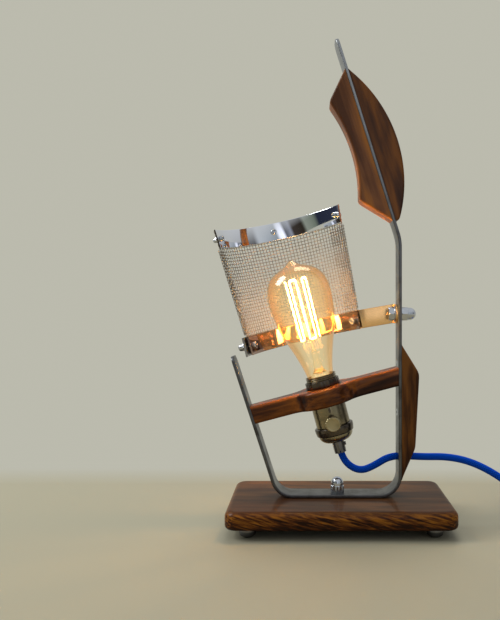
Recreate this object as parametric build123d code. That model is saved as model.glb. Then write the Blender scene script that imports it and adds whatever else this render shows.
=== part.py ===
from build123d import *
from math import cos, degrees, hypot, pi, radians, sin, sqrt, tan
import os

# A reading lamp in millimetres: a flat steel bar bent into a lopsided U stands on a wood board,
# a wood cross arm between its legs holds a lampholder and a large clear bulb, and a half round
# wire cloth reflector hangs on a hoop that tilts about a bolt through the bar.
# x runs to the right, y away from the viewer and z up from the surface that the feet stand on.

# Base board and its four feet
base_width = 217.0
base_depth = 120.0
base_thickness = 17.0
base_corner = 12.0
base_top_round = 6.0
base_bottom_bevel = 3.5
foot_height = 9.0
foot_diameter = 17.0
foot_pad = 8.0
foot_inset_x = 21.0
foot_inset_y = 15.0

# The bent bar, by the middle of its thickness
bar_width = 25.0
bar_thickness = 3.2
bar_end_round = 7.0
post_x = 59.5
left_heel_x = -61.0
left_lean = 18.2
left_tip_z = 165.0
elbow_z = 280.0
top_lean = 17.4
top_tip_z = 479.5
heel_radius = 20.4
elbow_radius = 48.0

# Machine screws, with one thread size for the base and the pivot
bolt_diameter = 8.0
bolt_head_flats = 13.0
bolt_head_height = 5.3
base_bolt_x = -2.0
washer_diameter = 16.0
washer_thickness = 1.2
cap_nut_flats = 13.0
cap_nut_hex = 7.5
cap_nut_height = 15.5
cap_nut_depth = 11.0
thread_gap = 0.05
shaft_gap = 0.08
hole_gap = 0.25
seat_gap = 0.1

# Flat sides of turned pieces, by their size
round_sides = 24
small_sides = 12
hole_sides = 6
corner_sides = 4
edge_sides = 3

# Cross arm
arm_x = -13.6
arm_z = 126.2
arm_lean = 14.8
arm_thickness = 17.6
arm_bevel = 3.0
boss_radius = 31.0
boss_blend = 16.0
wood_screw_diameter = 4.5
wood_screw_head = 8.5
wood_screw_length = 17.0

# Upper grip, two wood scales on the slanted part of the bar
grip_top_z = 448.5
grip_horn = 26.0
grip_horn_z = 415.4
grip_waist = 14.5
grip_heel = 26.5
grip_heel_z = 319.0
grip_foot_z = 299.0
back_width = 20.8
back_widest_z = 350.0
back_bulge = 12.8
back_step = 3.4
grip_bevel = 2.8
grip_pin_diameter = 5.0

# Lower grip, one wood scale outside the upright part of the bar
low_grip_top = 177.0
low_grip_shoulder = 140.0
low_grip_waist = 90.0
low_grip_bottom = 46.0
low_grip_width = 17.0
low_grip_narrow = 14.9

# Lampholder, by heights along its own axis from the middle of the arm
neck_radius = 15.2
neck_top = 20.5
shell_radius = 17.0
shell_wall = 1.0
shell_bottom = 30.5
ring_radius = 17.0
ring_height = 7.0
collar_radius = 19.5
collar_height = 9.0
dome_bottom = 47.5
nipple_radius = 6.0
nipple_length = 11.5
slot_width = 2.4
slot_height = 5.0
slot_drop = 13.5
screw_shell_radius = 13.9
screw_shell_wall = 0.4
screw_shell_top = 14.0
socket_floor = 10.4

# Switch knob on the front of the lampholder
knob_drop = 26.0
knob_diameter = 15.0
knob_length = 8.5
knob_flutes = 18
spindle_diameter = 4.0
spindle_depth = 8.0
knob_stand_off = 3.0

# Bulb, by radius and height along the lampholder's axis
bulb_radius = 32.0
bulb_widest = 98.0
bulb_tip = 138.9
bulb_cap_radius = 13.15
bulb_cap_top = 18.0
bulb_cap_bottom = 3.5
bulb_glass_wall = 1.2
filament_radius = 11.0
filament_low = 58.0
filament_high = 119.0
filament_legs = 10
filament_wire = 0.8

# Reflector: part of a cone about its own leaning axis, by radius at its lower and upper edge
reflector_x = -27.3
reflector_y = -23.5
reflector_z = 180.2
reflector_lean = 13.2
reflector_height = 129.0
reflector_low_radius = 59.75
reflector_high_radius = 68.9
reflector_first = 33.6
reflector_sweep = 135.7
strip_height = 18.7
strip_thickness = 1.2
cloth_thickness = 1.2
cloth_panels = 11
cloth_rows = 8
cloth_wire = 1.6

# Hoop that carries the reflector, and the bolt that it tilts about
hoop_thickness = 2.0
hoop_height = 19.0
hoop_past = 7.0
pivot_z = 207.2
tab_reach = 10.0
strip_screw_diameter = 3.0
strip_screw_head = 5.5
hoop_screw_diameter = 4.0
hoop_screw_head = 7.0

# Cord, coil and plug
cord_diameter = 7.0
cord_hole_diameter = 9.0
cord_hole_z = 64.4
cord_in_nipple = 6.0
coil_x = 232.0
coil_y = 40.0
coil_radius = 50.8
coil_layers = 2
coil_turns_per_layer = 3
coil_pitch = 7.6
coil_rise = 7.7
cord_sides = 4
coil_end_run = 7.0
plug_length = 30.0
plug_width = 24.0
plug_height = 14.0
plug_pin_length = 16.0
plug_pin_width = 6.3
plug_pin_thickness = 1.5
plug_pin_spacing = 12.7

# The reflector reaches further to the left than the board, so the board's middle lies this far
# to the right of the middle of the whole lamp, where x is zero
board_x = 9.0

base_top = foot_height + base_thickness
bar_z = base_top + bar_thickness / 2
post_inner_x = post_x - bar_thickness / 2
post_outer_x = post_x + bar_thickness / 2
half_arm = arm_thickness / 2

os.makedirs("parts", exist_ok=True)


def keep(node, *solids):
    """Writes one sub-part, moved so that the middle of the whole lamp is at x = 0."""
    moved = [Pos(board_x, 0, 0) * solid for solid in solids]
    shape = moved[0] if len(moved) == 1 else Compound(children=moved)
    export_step(shape, f"parts/{node}.step")


def leaning(x, y, z, lean):
    """Place at a point, with z leaning to the left by an angle and x to the right of it."""
    turn = radians(lean)
    across = (cos(turn), 0, sin(turn))
    along = (-sin(turn), 0, cos(turn))
    return Location(Plane(origin=(x, y, z), x_dir=across, z_dir=along))


def pointing(point, direction):
    """Place at a point with z along a direction."""
    return Location(Plane(origin=point, z_dir=direction))


def flat_shell(faces):
    """Closed solid from flat faces, each given by its corners."""
    return Solid(Shell([make_face(Polyline(*corners, close=True)) for corners in faces]))


def turned(*points, sides=round_sides):
    """Solid turned about z through points of radius and height, with a number of flat sides."""
    turns = [2 * pi * k / sides for k in range(sides + 1)]
    faces = []
    for (low_r, low_z), (high_r, high_z) in zip(points, (*points[1:], points[0])):
        if low_r == high_r == 0:
            continue
        if low_z == high_z and min(low_r, high_r) == 0:
            rim = max(low_r, high_r)
            faces.append([(rim * cos(t), rim * sin(t), low_z) for t in turns[:-1]])
            continue
        for t, u in zip(turns, turns[1:]):
            corners = [(low_r * cos(t), low_r * sin(t), low_z)]
            corners += [(low_r * cos(u), low_r * sin(u), low_z)] if low_r else []
            corners += [(high_r * cos(u), high_r * sin(u), high_z)]
            corners += [(high_r * cos(t), high_r * sin(t), high_z)] if high_r else []
            faces.append(corners)
    return flat_shell(faces)


def rod(radius, low, high, sides):
    """Rod of some sides on z between two heights, its corners at the radius."""
    return turned((0, low), (radius, low), (radius, high), (0, high), sides=sides)


def hole(radius, low, high, sides):
    """Cutter of some sides that clears a round rod of the radius."""
    return rod(radius / cos(pi / sides), low, high, sides)


def peg(radius, low, high):
    """Cylinder on z between two heights."""
    return Pos(0, 0, low) * Cylinder(radius, high - low, align=(Align.CENTER, Align.CENTER, Align.MIN))


def hexagon(flats, low, high):
    """Hexagonal prism on z between two heights."""
    face = RegularPolygon(flats / 2, 6, major_radius=False)
    return Pos(0, 0, low) * extrude(face, high - low)


def cap_nut(diameter, flats, hex_height, height, depth):
    """Domed nut that sits on z = 0, with a blind bore from below."""
    dome = flats / 2 * 0.96
    start = height - dome
    body = turned((0, 0), (dome, 0), (dome, start), (dome * 0.86, start + dome * 0.51), (dome * 0.5, start + dome * 0.87),
                  (0, height), sides=small_sides)
    return body + hexagon(flats, 0, hex_height) - hole(diameter / 2 + thread_gap, -1, depth, small_sides)


def small_cap_nut(diameter, flats, hex_height, height):
    """Small domed nut that sits on z = 0, with a blind bore from below."""
    dome = flats / 2 * 0.9
    tip = turned((0, 0), (dome, 0), (dome, height - dome), (dome * 0.5, height), (0, height), sides=small_sides)
    return hexagon(flats, 0, hex_height) + tip - hole(diameter / 2 + thread_gap, -1, height - 1.5, hole_sides)


def round_head_screw(diameter, head, length):
    """Screw with a round head, the head's underside at z = 0 and its shank below."""
    return rod(head / 2, 0, diameter, small_sides) + rod(diameter / 2, -length, 0, hole_sides)


def countersink(diameter, head, depth):
    """Cutter for a countersunk screw: its cone, and a hole down to a depth."""
    neck = (head - diameter) / 2
    gap = seat_gap
    return turned((0, 1), (head / 2 + gap, 1), (head / 2 + gap, 0), (diameter / 2 + gap, -neck),
                  (diameter / 2 + gap, -depth), (0, -depth), sides=small_sides)


def washer(low):
    """Washer on z with its lower face at a height."""
    bore = (bolt_diameter / 2 + hole_gap) / cos(pi / small_sides)
    rim = washer_diameter / 2
    high = low + washer_thickness
    return turned((bore, low), (rim, low), (rim, high), (bore, high), sides=small_sides)


# Base

foot_x = base_width / 2 - foot_inset_x
foot_y = base_depth / 2 - foot_inset_y
foot_places = [Pos(x, y, 0) for x in (-foot_x, foot_x) for y in (-foot_y, foot_y)]
bolt_recess = bolt_head_height + washer_thickness + 1.0
bolt_seat_z = foot_height + bolt_recess


def board_ring(inset, height):
    """Outline of the board at a height, drawn in by an inset, with round corners of flat sides."""
    ring = []
    for quarter, (right, back) in enumerate(((1, 1), (-1, 1), (-1, -1), (1, -1))):
        x = right * (base_width / 2 - base_corner)
        y = back * (base_depth / 2 - base_corner)
        turns = [(quarter + k / corner_sides) * pi / 2 for k in range(corner_sides + 1)]
        reach = base_corner - inset
        ring += [(x + reach * cos(t), y + reach * sin(t), height) for t in turns]
    return ring


def base_board():
    """Board with rounded corners and edges and a recess for the bolt's head."""
    rings = [board_ring(base_bottom_bevel, foot_height), board_ring(0, foot_height + base_bottom_bevel)]
    for k in range(edge_sides + 1):
        turn = k / edge_sides * pi / 2
        rings.append(board_ring(base_top_round * (1 - cos(turn)), base_top - base_top_round * (1 - sin(turn))))
    faces = [rings[0], rings[-1]]
    for low, high in zip(rings, rings[1:]):
        faces += [[low[k - 1], low[k], high[k], high[k - 1]] for k in range(len(low))]
    board = flat_shell(faces)
    board -= Pos(base_bolt_x, 0, 0) * hole(washer_diameter / 2 + 2, foot_height - 1, bolt_seat_z, small_sides)
    return board - Pos(base_bolt_x, 0, 0) * hole(bolt_diameter / 2 + hole_gap, 0, base_top + 1, small_sides)


def foot():
    """Domed foot with a flat pad."""
    radius = foot_diameter / 2
    return turned((0, 0), (foot_pad / 2, 0), (radius - 1.1, 2.6), (radius, 6.4), (radius, foot_height),
                  (0, foot_height), sides=small_sides)


# Bent bar

def slant(x, z, lean, height):
    """Point on a line that leans to the left from a point, at a height."""
    return (x - (height - z) * tan(radians(lean)), height)


left_heel = (left_heel_x, bar_z)
right_heel = (post_x, bar_z)
elbow = (post_x, elbow_z)
left_tip = slant(*left_heel, left_lean, left_tip_z)
top_tip = slant(*elbow, top_lean, top_tip_z)
pivot_head_x = post_inner_x - seat_gap - hoop_thickness - seat_gap - washer_thickness


def upper_face(height, side):
    """Point on a face of the bar's slanted part, side -1 for the left face and 1 for the right."""
    x, z = slant(*elbow, top_lean, height)
    return (x + side * bar_thickness / 2 / cos(radians(top_lean)), z)


def along_left_leg(height):
    """Middle of the left leg at a height."""
    return slant(*left_heel, left_lean, height)


arm_turn = radians(arm_lean)
left_turn = radians(left_lean)
top_turn = radians(top_lean)


def arm_reach_left():
    """Distance along the arm from its middle to the middle of the left leg."""
    rise = arm_z - bar_z
    offset = (arm_x - left_heel_x) * cos(left_turn) + rise * sin(left_turn)
    return offset / cos(arm_turn - left_turn)


arm_left_z = arm_z - arm_reach_left() * sin(arm_turn)
arm_right_z = arm_z + (post_x - arm_x) * tan(arm_turn)
left_leg_right = (cos(left_turn), 0, sin(left_turn))


def left_screw_place():
    """Place of the left arm screw: outside the left leg, with z out of its head."""
    x, z = along_left_leg(arm_left_z)
    out = bar_thickness / 2
    return pointing((x - out * left_leg_right[0], 0, z - out * left_leg_right[2]), tuple(-c for c in left_leg_right))


def right_screw_place():
    """Place of the right arm screw: outside the post, with z out of its head."""
    return pointing((post_outer_x, 0, arm_right_z), (1, 0, 0))


low_screw_heights = (0.5 * (low_grip_top + low_grip_shoulder) - 2, 0.5 * (low_grip_shoulder + low_grip_waist) - 6)


def low_screw_places():
    """Places of the lower grip's screws: inside the post, with z out of their heads."""
    return [pointing((post_inner_x, 0, z), (-1, 0, 0)) for z in low_screw_heights]


def wood_screw_places():
    """Places of the four equal wood screws, with z out of their heads."""
    return [left_screw_place(), right_screw_place(), *low_screw_places()]


def wood_screw():
    """Countersunk wood screw with a tapering shank."""
    neck = (wood_screw_head - wood_screw_diameter) / 2
    radius = wood_screw_diameter / 2
    return turned((0, 0), (wood_screw_head / 2, 0), (radius, -neck), (0, -wood_screw_length), sides=small_sides)


def screw_way():
    """Cutter for the pilot hole of a wood screw."""
    return rod(wood_screw_diameter / 2 + seat_gap, -wood_screw_length - 0.5, 0, small_sides)


grip_pin_heights = (grip_foot_z + 22.0, grip_horn_z - 12.0)


def grip_pin_places():
    """Places of the upper grip's pins, in the middle of the bar with z to the right."""
    right = (cos(top_turn), 0, sin(top_turn))
    return [pointing((*slant(*elbow, top_lean, z)[:1], 0, z), right) for z in grip_pin_heights]


def frame_bar():
    """Flat bar swept along its bent middle line, with rounded ends and its holes."""
    corners = [(x, 0, z) for x, z in (left_tip, left_heel, right_heel, elbow, top_tip)]
    path = FilletPolyline(*corners, radius=[heel_radius, heel_radius, elbow_radius])
    start = Plane(origin=path @ 0, x_dir=(0, 1, 0), z_dir=path % 0)
    bar = sweep(start * Rectangle(bar_width, bar_thickness), path)
    for tip in (left_tip, top_tip):
        ends = [e for e in bar.edges() if e.length < bar_thickness * 1.01]
        near = [e for e in ends if hypot(e.center().X - tip[0], e.center().Z - tip[1]) < bar_thickness]
        bar = fillet(near, bar_end_round)
    bar -= Pos(base_bolt_x, 0, bar_z) * hole(bolt_diameter / 2 + hole_gap, -bar_thickness, bar_thickness, small_sides)
    across = pointing((post_x, 0, pivot_z), (1, 0, 0))
    bar -= across * peg(bolt_diameter / 2 + seat_gap, -bar_thickness, bar_thickness)
    cord_way = pointing((post_x, 0, cord_hole_z), (1, 0, 0))
    bar -= cord_way * hole(cord_hole_diameter / 2, -bar_thickness, bar_thickness, small_sides)
    for place in wood_screw_places():
        bar -= place * countersink(wood_screw_diameter, wood_screw_head, bar_thickness * 2)
    for place in grip_pin_places():
        bar -= place * rod(grip_pin_diameter / 2 + seat_gap, -bar_thickness, bar_thickness, small_sides)
    return bar


# Upper and lower grips

def scale_solid(outline):
    """Wood scale as wide as the bar, from an outline in the x z plane."""
    face = Plane.XZ * make_face(outline)
    return extrude(face, bar_width / 2, both=True)


def on_bar(edge, first, last):
    """Whether an edge lies along the bar's face between two points of it."""
    span = hypot(last[0] - first[0], last[1] - first[1])
    middle = edge.center()
    off = (middle.X - first[0]) * (last[1] - first[1]) - (middle.Z - first[1]) * (last[0] - first[0])
    return abs(off) / span < 0.2


def bevel_scale(scale, first, last):
    """Bevels the front and back edges of a scale, apart from those on the bar's face."""
    rims = [e for e in scale.edges() if abs(abs(e.center().Y) - bar_width / 2) < 0.01]
    return chamfer([e for e in rims if not on_bar(e, first, last) and e.length > back_step * 1.01], grip_bevel)


def grip_inner_scale():
    """Left scale: a horn above, a hollow side and a slanted foot that meets the bar."""
    top = upper_face(grip_top_z, -1)
    foot_end = upper_face(grip_foot_z, -1)
    horn = (upper_face(grip_horn_z, -1)[0] - grip_horn, grip_horn_z)
    heel = (upper_face(grip_heel_z, -1)[0] - grip_heel, grip_heel_z)
    waist_z = (grip_horn_z + grip_heel_z) / 2
    waist = (upper_face(waist_z, -1)[0] - grip_waist - 2.6, waist_z)
    outline = [Line(foot_end, top), Line(top, horn), ThreePointArc(horn, waist, heel), Line(heel, foot_end)]
    scale = scale_solid(outline)
    sharp = [e for e in scale.edges() if e.length > bar_width * 0.99 and abs(e.center().Y) < 0.01]
    sharp = [e for e in sharp if not on_bar(e, foot_end, top) and e.center().Z < grip_top_z - 10]
    scale = fillet(sharp, 3.5)
    scale = bevel_scale(scale, foot_end, top)
    for place in grip_pin_places():
        scale -= place * rod(grip_pin_diameter / 2 + seat_gap, -grip_pin_sink, 0, small_sides)
    return scale


def grip_outer_scale():
    """Right scale: one swelling back that starts at the bar and ends in a small step."""
    top = upper_face(grip_top_z, 1)
    foot_end = upper_face(grip_foot_z, 1)
    widest = (upper_face(back_widest_z, 1)[0] + back_width, back_widest_z)
    chord = (widest[0] - top[0], widest[1] - top[1])
    span = hypot(*chord)
    middle = ((top[0] + widest[0]) / 2, (top[1] + widest[1]) / 2)
    bulge = (middle[0] - chord[1] / span * back_bulge, middle[1] + chord[0] / span * back_bulge)
    step = (foot_end[0] + back_step, grip_foot_z)
    back = ThreePointArc(top, bulge, widest)
    low = TangentArc(widest, step, tangent=back % 1)
    scale = bevel_scale(scale_solid([Line(foot_end, top), back, low, Line(step, foot_end)]), foot_end, top)
    for place in grip_pin_places():
        scale -= place * rod(grip_pin_diameter / 2 + seat_gap, 0, grip_pin_sink, small_sides)
    return scale


grip_pin_sink = 9.0


def grip_pin():
    """Blind pin that joins both scales through the bar."""
    return rod(grip_pin_diameter / 2, 0.5 - grip_pin_sink, grip_pin_sink - 0.5, small_sides)


def lower_grip():
    """Lower scale: a swelling palm on the post, with the cord's way through it."""
    face_x = post_outer_x
    top = (face_x, low_grip_top)
    bottom = (face_x, low_grip_bottom)
    shoulder = (face_x + low_grip_width, low_grip_shoulder)
    waist = (face_x + low_grip_narrow, low_grip_waist)
    bulge = (face_x + low_grip_width * 0.66, (low_grip_top + low_grip_shoulder) / 2 + 2.0)
    crown = ThreePointArc(top, bulge, shoulder)
    side = TangentArc(shoulder, waist, tangent=crown % 1)
    heel = TangentArc(waist, bottom, tangent=side % 1)
    scale = bevel_scale(scale_solid([Line(bottom, top), crown, side, heel]), bottom, top)
    scale -= pointing((face_x, 0, cord_hole_z), (1, 0, 0)) * hole(cord_hole_diameter / 2, -1, low_grip_width + 2, small_sides)
    for place in low_screw_places():
        scale -= place * screw_way()
    return scale


# Cross arm

socket_place = leaning(arm_x, 0, arm_z, arm_lean)


def socket_arm():
    """Cross arm with a round boss about the lampholder, its ends cut to the legs of the bar."""
    reach_left = arm_reach_left() + 12
    reach_right = (post_x - arm_x) / cos(arm_turn) + 12
    beam = Pos((reach_right - reach_left) / 2, 0) * Rectangle(reach_left + reach_right, bar_width)
    plan = beam + Circle(boss_radius)
    inner = [v for v in plan.vertices() if abs(v.X) < boss_radius and abs(abs(v.Y) - bar_width / 2) < 0.01]
    plan = fillet(inner, boss_blend)
    arm = socket_place * extrude(plan, half_arm, both=True)
    room = bar_thickness / 2
    x, z = along_left_leg(arm_left_z)
    left_cut = pointing((x + room * left_leg_right[0], 0, z + room * left_leg_right[2]), left_leg_right)
    arm -= left_cut * Pos(0, 0, -50) * Box(200, 200, 100)
    arm -= Pos(post_inner_x + 50, 0, arm_z) * Box(100, 200, 300)
    arm = chamfer([e for e in arm.edges() if is_arm_rim(e)], arm_bevel)
    arm -= socket_place * rod(neck_radius + hole_gap, -arm_thickness, arm_thickness, round_sides)
    for place in (left_screw_place(), right_screw_place()):
        arm -= place * screw_way()
    return arm


def is_arm_rim(edge):
    """Whether an edge of the arm runs along its upper or lower face, away from its cut ends."""
    local = socket_place.inverse() * Pos(*edge.center())
    height = abs(local.position.Z)
    flat = abs(edge.tangent_at(0.5).dot(Vector(-sin(arm_turn), 0, cos(arm_turn)))) < 0.01
    along = abs(edge.tangent_at(0.5).Y) < 0.999 or edge.geom_type != GeomType.LINE
    return abs(height - half_arm) < 0.05 and flat and along


# Lampholder

def socket_shell():
    """Holder's body: a neck through the arm, a shoulder below it and a straight wall."""
    bore = neck_radius - shell_wall
    outline = [(bore, neck_top), (neck_radius, neck_top), (neck_radius, -half_arm), (shell_radius, -half_arm)]
    outline += [(shell_radius, -shell_bottom), (0, -shell_bottom), (0, -socket_floor), (bore, -socket_floor)]
    shell = turned(*outline)
    shell -= Pos(0, -shell_radius, -slot_drop) * Box(slot_width, shell_wall * 2, slot_height)
    spindle_bore = peg(spindle_diameter / 2 + shaft_gap, shell_radius - spindle_depth - 0.5, shell_radius + 1)
    return shell - pointing((0, 0, -knob_drop), (0, -1, 0)) * spindle_bore


def socket_ring():
    """Ring nut with flats that clamps the neck on top of the arm."""
    bore = neck_radius + thread_gap
    high = half_arm + ring_height
    return turned((bore, half_arm), (ring_radius, half_arm), (ring_radius, high), (bore, high))


def socket_sleeve():
    """Thin brass sleeve that the bulb's cap screws into."""
    bore = screw_shell_radius - screw_shell_wall
    return turned((bore, -socket_floor), (screw_shell_radius, -socket_floor), (screw_shell_radius, screw_shell_top),
                  (bore, screw_shell_top))


def socket_contact():
    """Sprung tongue in the middle of the floor, bent up towards the bulb's tip."""
    low = -socket_floor
    tongue = Polyline((-5.5, low), (-1.5, low), (1.0, low + 2.2), (4.0, low + 2.2), (4.0, low + 2.7),
                      (0.8, low + 2.7), (-1.7, low + 0.5), (-5.5, low + 0.5), close=True)
    return extrude(Plane.XZ * make_face(tongue), 2.5, both=True)


def socket_cap():
    """Dark cap below the body: a collar that stands out, and a dome under it."""
    low = -shell_bottom - collar_height
    return turned((0, -shell_bottom), (collar_radius, -shell_bottom), (collar_radius, low), (collar_radius - 2.6, low),
                  (14.2, -dome_bottom + 2.8), (9.0, -dome_bottom), (0, -dome_bottom))


def cord_grip():
    """Slotted sleeve under the dome that grips the cord."""
    low = -dome_bottom - nipple_length
    bore = (cord_diameter / 2 + seat_gap) / cos(pi / small_sides)
    floor = low + cord_in_nipple
    grip = turned((bore, low), (nipple_radius, low), (nipple_radius, -dome_bottom), (0, -dome_bottom), (0, floor),
                  (bore, floor), sides=small_sides)
    for turn in (0, 90):
        grip -= Rot(0, 0, turn) * Pos(0, 0, low) * Box(nipple_radius * 3, 1.0, 5.0)
    return grip


grip_screw_drop = 4.0


def cord_grip_screw():
    """Head of the small screw in the side of the cord grip."""
    place = pointing((0, 0, -dome_bottom - grip_screw_drop), (1, 0, 0))
    return place * rod(1.8, nipple_radius, nipple_radius + 1.4, small_sides)


def switch_spindle():
    """Spindle that runs in the insert and carries the knob."""
    near = shell_radius - spindle_depth
    flat = Pos(0, spindle_diameter, 0) * Box(10, spindle_diameter * 1.2, 100)
    far = shell_radius + knob_stand_off + knob_length - 2
    rod = peg(spindle_diameter / 2, near, shell_radius + knob_stand_off)
    rod += peg(spindle_diameter / 2, shell_radius + knob_stand_off, far) - flat
    return pointing((0, 0, -knob_drop), (0, -1, 0)) * rod


def switch_knob():
    """Round knob with a fluted rim."""
    low = shell_radius + knob_stand_off
    high = low + knob_length
    knob = Pos(0, 0, low) * extrude(RegularPolygon(knob_diameter / 2 - 1.5, knob_flutes), 2)
    knob += Pos(0, 0, low + 2) * extrude(RegularPolygon(knob_diameter / 2, knob_flutes), knob_length - 2)
    knob = chamfer(knob.edges().group_by(Axis.Z)[-1], 0.8)
    knob -= peg(spindle_diameter / 2 + thread_gap, low - 1, high - 2 + seat_gap)
    return pointing((0, 0, -knob_drop), (0, -1, 0)) * knob


# Bulb

def bulb_glass():
    """Pear shaped glass with a pointed crown, open at the neck that stands on the cap."""
    neck = bulb_cap_radius - 0.6
    wide = bulb_radius
    wall = bulb_glass_wall
    outside = [(neck, bulb_cap_top), (14.6, 28), (20.3, 47.5), (29.0, 75.5), (wide, bulb_widest), (29.8, 115.5)]
    outside += [(23.4, 126.2), (14.0, 131.2), (5.2, 136.2), (0, bulb_tip)]
    inside = [(0, bulb_tip - 3.0), (12.6, 130.4), (21.9, 125.2), (29.8 - wall, 114.9), (wide - wall, bulb_widest)]
    inside += [(29.0 - wall, 76), (20.3 - wall, 48), (neck - wall, bulb_cap_top)]
    return turned(*outside, *inside)


def bulb_cap():
    """Metal cap that the glass stands on."""
    low = -bulb_cap_bottom
    return turned((0, bulb_cap_top), (bulb_cap_radius, bulb_cap_top), (bulb_cap_radius, low + 2), (10.4, low), (0, low))


def bulb_cap_glass():
    """Black glass cone that keeps the tip contact off the cap."""
    low = -bulb_cap_bottom
    return turned((0, low), (10.0, low), (5.0, low - 2.4), (0, low - 2.4), sides=small_sides)


def bulb_contact():
    """Tip contact under the cap."""
    low = -bulb_cap_bottom - 2.4
    return turned((0, low), (4.6, low), (3.6, low - 1.0), (0, low - 1.0), sides=small_sides)


def rod_between(start, end, diameter, sides=5):
    """Thin straight rod of a few sides between two points."""
    direction = Vector(*end) - Vector(*start)
    return pointing(start, direction) * extrude(RegularPolygon(diameter / 2, sides), direction.length)


def bulb_stem():
    """Glass flare and rod that carry the filament's wires."""
    return turned((0, bulb_cap_top), (11.0, bulb_cap_top), (4.4, bulb_cap_top + 9), (1.8, 46.0), (1.8, 117.0),
                  (0, 117.0), sides=small_sides)


def filament_point(k, high):
    """Top or bottom point of one leg of the filament."""
    turn = 2 * pi * (k + 0.5) / filament_legs
    radius = filament_radius if high else filament_radius * 0.92
    return (radius * cos(turn), radius * sin(turn), filament_high if high else filament_low)


def filament():
    """Long zigzag filament: legs about a cylinder, joined in turn above and below."""
    path = Polyline(*[filament_point(k // 2, (k + 1) // 2 % 2 == 1) for k in range(2 * filament_legs)])
    start = Plane(origin=path @ 0, z_dir=path % 0)
    return sweep(start * Rectangle(filament_wire, filament_wire), path, transition=Transition.RIGHT)


def filament_supports():
    """Straight wires from the stem to the filament's bends, above and below."""
    wires = []
    for k in range(filament_legs):
        x, y, z = filament_point(k, k % 2 == 0)
        share = 1 - filament_wire / hypot(x, y)
        root = 1.9 / hypot(x, y)
        root_z = z - 6 if k % 2 == 0 else z - 4
        wires.append(rod_between((x * root, y * root, root_z), (x * share, y * share, z), 0.6, 4))
    return wires


# Reflector

reflector_place = leaning(reflector_x, reflector_y, reflector_z, reflector_lean)
cone_rate = (reflector_high_radius - reflector_low_radius) / reflector_height


def cone_radius(height, out=0.0):
    """Radius of the reflector's cone at a height, with an offset outwards."""
    return reflector_low_radius + cone_rate * height + out


cloth_inside = strip_thickness + seat_gap
cloth_outside = cloth_inside + cloth_thickness
panel_step = reflector_sweep / cloth_panels
rivet_angles = [panel_step * (k + 0.5) for k in (0, cloth_panels // 2, cloth_panels - 1)]


def band(section, last=0.0):
    """Band of flat panels about the reflector's axis, from the middle radius and height of its four edges."""
    stretch = 1 / cos(radians(panel_step / 2))
    angles = [reflector_first + panel_step * k for k in range(cloth_panels + 1)]
    angles += [reflector_first + reflector_sweep + last] if last else []
    lines = [[(r * stretch * cos(radians(a)), r * stretch * sin(radians(a)), z) for a in angles] for r, z in section]
    faces = [[line[0] for line in lines], [line[-1] for line in lines]]
    for near, far in ((0, 1), (2, 3)):
        faces.append(lines[near] + lines[far][::-1])
    for near, far in ((1, 2), (3, 0)):
        for k in range(len(angles) - 1):
            faces.append([lines[near][k], lines[near][k + 1], lines[far][k + 1], lines[far][k]])
    return flat_shell(faces)


def top_rivet(angle, out):
    """Place on the middle of the upper strip with z pointing outwards, square to the cone."""
    turn = radians(reflector_first + angle)
    height = reflector_height - strip_height / 2
    at = pointing((0, 0, 0), (cos(turn), sin(turn), -cone_rate))
    radius = cone_radius(height)
    return Pos(radius * cos(turn), radius * sin(turn), height) * at * Pos(0, 0, out)


def low_rivet(angle, out):
    """Place on the middle of the lower strip with z pointing outwards, square to the axis."""
    turn = radians(reflector_first + angle)
    radius = cone_radius(strip_height / 2, out)
    return pointing((radius * cos(turn), radius * sin(turn), strip_height / 2), (cos(turn), sin(turn), 0))


def reflector_strip(low, rivet, screw_diameter):
    """Polished strip along one edge of the reflector, with its screw holes."""
    high = low + strip_height
    wall = strip_thickness
    strip = band([(cone_radius(low), low), (cone_radius(low, wall), low), (cone_radius(high, wall), high),
                  (cone_radius(high), high)])
    for angle in rivet_angles:
        strip -= rivet(angle, 0) * rod(screw_diameter / 2 + seat_gap, -3, 4, hole_sides)
    return strip


def cloth_panel():
    """One flat panel of the wire cloth, with a column of open meshes between its two hems."""
    half = radians(panel_step / 2)
    ring = {}
    for level, height in enumerate((0, reflector_height)):
        for layer, out in enumerate((cloth_inside, cloth_outside)):
            radius = cone_radius(height, out)
            for side in (-1, 1):
                ring[level, layer, side] = (radius, side * radius * tan(half), height)
    sides = [[(0, 0, -1), (0, 0, 1), (0, 1, 1), (0, 1, -1)], [(1, 0, -1), (1, 0, 1), (1, 1, 1), (1, 1, -1)]]
    sides += [[(0, k, -1), (0, k, 1), (1, k, 1), (1, k, -1)] for k in (0, 1)]
    sides += [[(0, 0, k), (0, 1, k), (1, 1, k), (1, 0, k)] for k in (-1, 1)]
    panel = flat_shell([[ring[c] for c in side] for side in sides])
    pitch = (reflector_height - 2 * strip_height) / cloth_rows
    for row in range(cloth_rows):
        height = strip_height + (row + 0.5) * pitch
        wide = 2 * cone_radius(height) * tan(half) - cloth_wire
        panel -= Pos(cone_radius(height), 0, height) * Box(20, wide, pitch - cloth_wire)
    return Rot(0, 0, reflector_first + panel_step / 2) * panel


def reflector_cloth():
    """Wire cloth as one gridded shell of flat panels, mitred to each other."""
    panel = cloth_panel()
    panels = [Rot(0, 0, k * panel_step) * panel for k in range(cloth_panels)]
    cloth = panels[0].fuse(*panels[1:])
    for angle in rivet_angles:
        cloth -= top_rivet(angle, 0) * rod(strip_screw_diameter / 2 + seat_gap, -3, 6, hole_sides)
        cloth -= low_rivet(angle, 0) * rod(hoop_screw_diameter / 2 + seat_gap, -3, 6, hole_sides)
    return cloth


hoop_inside = cone_rate * hoop_height + cloth_outside + 0.3
hoop_inner_radius = reflector_low_radius + hoop_inside
hoop_outer_radius = hoop_inner_radius + hoop_thickness


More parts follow.
